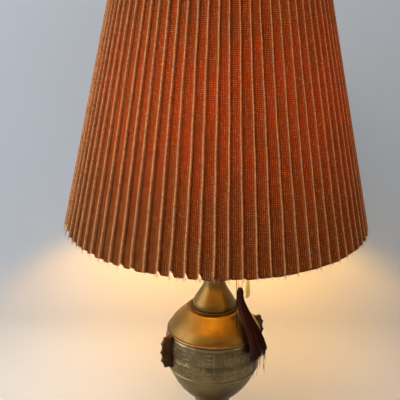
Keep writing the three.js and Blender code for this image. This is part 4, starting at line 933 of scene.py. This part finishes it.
def ball_chain(node, pull):
    """Hollow beads on short links, hanging straight down."""
    low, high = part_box(node)
    beads = round((high.z - low.z) / BEAD_PITCH)
    pitch = (high.z - low.z) / beads
    section = [bare(0.0, low.z)]
    for i in range(beads):
        middle = low.z + (i + 0.5) * pitch
        for k in range(9):
            a = -math.pi / 2 * 0.84 + k / 8 * math.pi * 0.84
            section.append(bare(BEAD_RADIUS * math.cos(a), middle + BEAD_RADIUS * math.sin(a)))
        if i < beads - 1:
            section.append(bare(LINK_RADIUS, middle + 0.0017, -0.4))
            section.append(bare(LINK_RADIUS, middle + pitch - 0.0017, -0.4))
    section.append(bare(0.0, high.z))
    stand = Matrix.Translation((*pull, 0))
    beads = spun("beads_" + node, section, False, bright_brass, stand, 14)
    fitted(beads, node)


# outer radius of the vase at each millimetre of height, where the skirt lies on it
vase_heights = np.arange(0.20, 0.33, 0.001)
vase_radii = np.full(len(vase_heights), 0.03)
for name in ("bowl", "band", "lower_bead", "upper_bead", "dome", "collar_ring", "neck"):
    outline = [p for p, _ in softened(*outline_of(name), 0.0002)]
    for a, b in zip(outline, outline[1:] + outline[:1]):
        for r, z in (a + (b - a) * k / 20 for k in range(21)):
            near = np.abs(vase_heights - z) < 0.0012
            vase_radii[near] = np.maximum(vase_radii[near], r)

silk = blank_surface("maroon silk")
streaks = mottle(silk, 1500, 0.0, 1.0, 2.0, (1, 1, 0.03))
dyed = blend_colors(silk, streaks, (0.005, 0.0012, 0.0012), (0.034, 0.009, 0.006))
shown(silk, "BsdfPrincipled", {
    "Base Color": blend_colors(silk, kept_value(silk, "shade"), dyed, (0.12, 0.032, 0.020)),
    "Roughness": 0.55, "Specular IOR Level": 0.2})
gold_cord = plain_surface("gold silk cord", (0.80, 0.56, 0.18), (0.62, 0.40, 0.11), 500, 0.55)

pull_stand = Matrix.Translation((*TASSEL_PULL, 0))
ball_chain("tassel_chain", TASSEL_PULL)
eased_copy("chain_coupling", bright_brass, 0.0002, 70)

# The loop is a two-ply cord through the eye.
PLY_RADIUS = 0.00042
PLY_OFFSET = 0.00037          # of each ply's middle from the cord's


def loop_path(steps):
    """The cord's middle line, a smooth curve through knots on one side and the other."""
    low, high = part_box("tassel_loop")
    foot_z, bend_z = low.z, high.z - 0.0008
    rising = [(0.0016, foot_z), (0.0026, foot_z + 0.008), (0.0026, bend_z - 0.008),
              (0.0016, bend_z - 0.0016)]
    knots = [(-x, z) for x, z in rising] + [(0.0, bend_z)] + rising[::-1]
    last = len(knots) - 1
    out = []
    for k in range(steps + 1):
        u = k / steps * last
        i = min(int(u), last - 1)
        t = u - i
        p = [np.array(knots[max(0, min(last, i + d))]) for d in (-1, 0, 1, 2)]
        at = 0.5 * ((2 * p[1]) + (p[2] - p[0]) * t + (2 * p[0] - 5 * p[1] + 4 * p[2] - p[3]) * t * t
                    + (3 * p[1] - p[0] - 3 * p[2] + p[3]) * t**3)
        out.append(Vector((TASSEL_PULL[0] + at[0], TASSEL_PULL[1], at[1])))
    return out


route = loop_path(90)
plies = []
for ply in (0, 1):
    twisted = []
    for k, at in enumerate(route):
        way = (route[min(k + 1, len(route) - 1)] - route[max(k - 1, 0)]).normalized()
        side = Vector((0, 1, 0))
        other = way.cross(side).normalized()
        a = k * 0.75 + ply * math.pi
        twisted.append(at + PLY_OFFSET * (math.cos(a) * side + math.sin(a) * other))
    plies.append(tube("loop_ply", twisted, PLY_RADIUS, gold_cord, sides=8))
fitted(merged(*plies), "tassel_loop")

# The head: silk bound round with a close winding, slimmer below its knot.
WINDING_TURNS = 17
WINDING_DEPTH = 0.00022
head_low, head_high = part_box("tassel_head")
head_outline, _ = outline_of("tassel_head", pull_stand)
head_profile = sorted((p[1], p[0]) for p in head_outline if p[0] > 0.001)
winding = [bare(0.0, head_low.z)]
quarters = WINDING_TURNS * 4
for k in range(quarters + 1):
    z = head_low.z + 0.0002 + (head_high.z - head_low.z - 0.0004) * k / quarters
    r = float(np.interp(z, [p[0] for p in head_profile], [p[1] for p in head_profile]))
    groove = WINDING_DEPTH * (0.5 - 0.5 * math.cos(k * math.pi / 2))
    winding.append(bare(r - groove, z))
winding.append(bare(0.0, head_high.z))
fitted(spun("bound_head", winding, False, silk, pull_stand, 40), "tassel_head")

# The skirt: locks of loose strands that hang from the head and lean out over the shoulder.
rng = random.Random(21)
heading = math.atan2(TASSEL_PULL[1], TASSEL_PULL[0])
hang = math.hypot(*TASSEL_PULL)
head_bottom = head_low.z - 0.0003
full = head_bottom - SKIRT_END
out, along = (math.cos(heading), math.sin(heading)), (-math.sin(heading), math.cos(heading))
locks = []
for _ in range(LOCK_COUNT):
    turn, share = rng.uniform(0, 2 * math.pi), math.sqrt(rng.random())
    extra, phase = rng.gauss(0, 0.022), rng.uniform(0, 6.28)
    locks.append((share * math.cos(turn), share * math.sin(turn), extra, phase))
paths = []
for n in range(STRAND_COUNT):
    stray = n % 46 == 0
    deep_at, wide_at, extra, phase = locks[n % LOCK_COUNT]
    deep_at += rng.gauss(0, 0.06)
    wide_at += rng.gauss(0, 0.06)
    size = max(1, math.hypot(deep_at, wide_at))
    deep_at, wide_at = deep_at / size, wide_at / size
    ends = 1.0 + extra + rng.gauss(0, 0.014) - 0.07 * wide_at
    if stray:
        ends = rng.uniform(1.02, 1.40)
    curl = rng.uniform(0, 0.0006) * (3 if stray else 1)
    path = []
    for k in range(25):
        part = -0.05 + (ends + 0.05) * k / 24
        z = head_bottom - full * part
        share = max(0.0, min(1.0, part))
        deep = 0.0045 + 0.0040 * share
        wide = 0.0050 + 0.0150 * share
        rest = float(np.interp(z, vase_heights, vase_radii)) + 0.0008 + deep
        centre = max(rest, hang + 0.036 * share * share * (3 - 2 * share)) if part >= 0.02 else hang
        r = centre + deep * 0.95 * deep_at
        w = wide * 0.95 * wide_at + curl * math.sin(part * 15 + phase)
        path.append((r * out[0] + w * along[0], r * out[1] + w * along[1], z))
    paths.append(path)
skirt = hair_bundle("silk_skirt", paths, STRAND_RADIUS, silk, 3)

# The long end of the binding thread hangs beside the tassel onto the dome.
path = []
for k in range(30):
    t = k / 29
    x = 0.0300 + 0.0030 * t + 0.0006 * math.sin(5 * t)
    z = 0.3665 - 0.075 * t
    dome = float(np.interp(z, vase_heights, vase_radii)) + 0.0012
    path.append((x, -max(0.0325, math.sqrt(max(0.0, dome * dome - x * x))), z))
knot = [(TASSEL_PULL[0] - 0.0026, TASSEL_PULL[1], 0.3655), (path[0][0] + 0.001, -0.031, 0.3672)]
tail = tube("thread_tail", knot + path, 0.00050, silk, sides=8)
fitted(merged(skirt, tail), "tassel_skirt")


# Drop pull: a second ball chain with a small turned drop of brass.

ball_chain("drop_chain", DROP_PULL)
# painted light: the drop's brass is painted brighter and yellower than the chain's, for the bulbs'
# light that falls on it from above
yellow_brass = metal_surface("yellow drop brass", (1.0, 0.80, 0.24), (1.0, 0.74, 0.20), 0.65, 0.4,
                             0.00001, 0.1, -0.5)
respun("chain_drop", yellow_brass, Matrix.Translation((*DROP_PULL, 0)), 0.0003, 48)


# Table and backdrop: one pale sweep of plain board that curves up behind the lamp. Its back
# is clear, so that it doesn't hide the lamp from behind.

FLOOR_FRONT, BEND_START, BEND_RADIUS, BOARD_TOP = -3.0, 0.20, 0.12, 3.2
profile = [(FLOOR_FRONT, 0.0), (BEND_START, 0.0)]
for k in range(1, 13):
    a = k / 12 * math.pi / 2
    profile.append((BEND_START + BEND_RADIUS * math.sin(a), BEND_RADIUS - BEND_RADIUS * math.cos(a)))
profile.append((BEND_START + BEND_RADIUS, BOARD_TOP))
corners = [(x, y, z) for y, z in profile for x in (-3.5, 3.5)]
faces = [(2 * i, 2 * i + 1, 2 * i + 3, 2 * i + 2) for i in range(len(profile) - 1)]
mesh = mesh_of("pale_sweep", corners, faces)
mesh.shade_smooth()
board = blank_surface("pale board")
back = add_node(board, "NewGeometry").outputs["Backfacing"]
paint = add_node(board, "BsdfDiffuse", {"Color": (0.50, 0.54, 0.585, 1)})
clear = add_node(board, "BsdfTransparent")
mesh.materials.append(shown(board, "MixShader", {
    0: back, 1: paint.outputs[0], 2: clear.outputs[0]}))
sweep = in_scene("pale_sweep", mesh)


# Studio light: a broad soft window at the left, a soft lamp overhead, a weak warm one at the
# right, and a pale grey room. The bulbs' light that leaves the shade's mouth is a lamp of
# its own, linked to the sweep alone, so that it doesn't light the cloth from inside.

for name, place, aim, size, power, color in (
        ("left window", (-1.95, -0.25, 1.15), (0, 0, 0.5), (1.6, 1.6), 36, (0.92, 0.97, 1.0)),
        ("overhead", (-0.5, -1.3, 2.5), (0, 0, 0.6), (1.6, 1.2), 40, (1.0, 0.98, 0.96)),
        ("right fill", (1.7, -1.2, 1.0), (0, 0, 0.45), (1.2, 1.2), 4, (1.0, 0.84, 0.58))):
    light = lamp(name, "AREA", place, power, color, aim).data
    light.shape, light.size, light.size_y = "RECTANGLE", *size
spill = lamp("bulb light on the backdrop", "SPOT", (0, -0.03, 0.63), 39, (1.0, 0.45, 0.06),
             (0, 0.32, 0.30))
spill.data.shadow_soft_size = 0.03
spill.data.spot_size, spill.data.spot_blend = math.radians(84), 0.15
lit_by_spill = bpy.data.collections.new("lit by the spill light")
lit_by_spill.objects.link(sweep)
spill.light_linking.receiver_collection = lit_by_spill

room = bpy.data.worlds.new("room")
bpy.context.scene.world = room
room.use_nodes = True
grey = room.node_tree.nodes["Background"].inputs
grey[0].default_value, grey[1].default_value = (0.62, 0.63, 0.66, 1), 0.21
bpy.context.scene.view_settings.view_transform = "Standard"


# Camera: a little above the shade's middle, looking down at the lamp.

view = bpy.data.cameras.new("camera")
view.lens, view.sensor_width = 72, 36
camera = in_scene("camera", view)
camera.location = (-0.023, -1.0822, 0.835)
pitch, roll = Matrix.Rotation(math.pi / 2 - 0.325, 3, "X"), Matrix.Rotation(0.0125, 3, "Z")
camera.rotation_euler = (pitch @ roll).to_euler()
bpy.context.scene.camera = camera
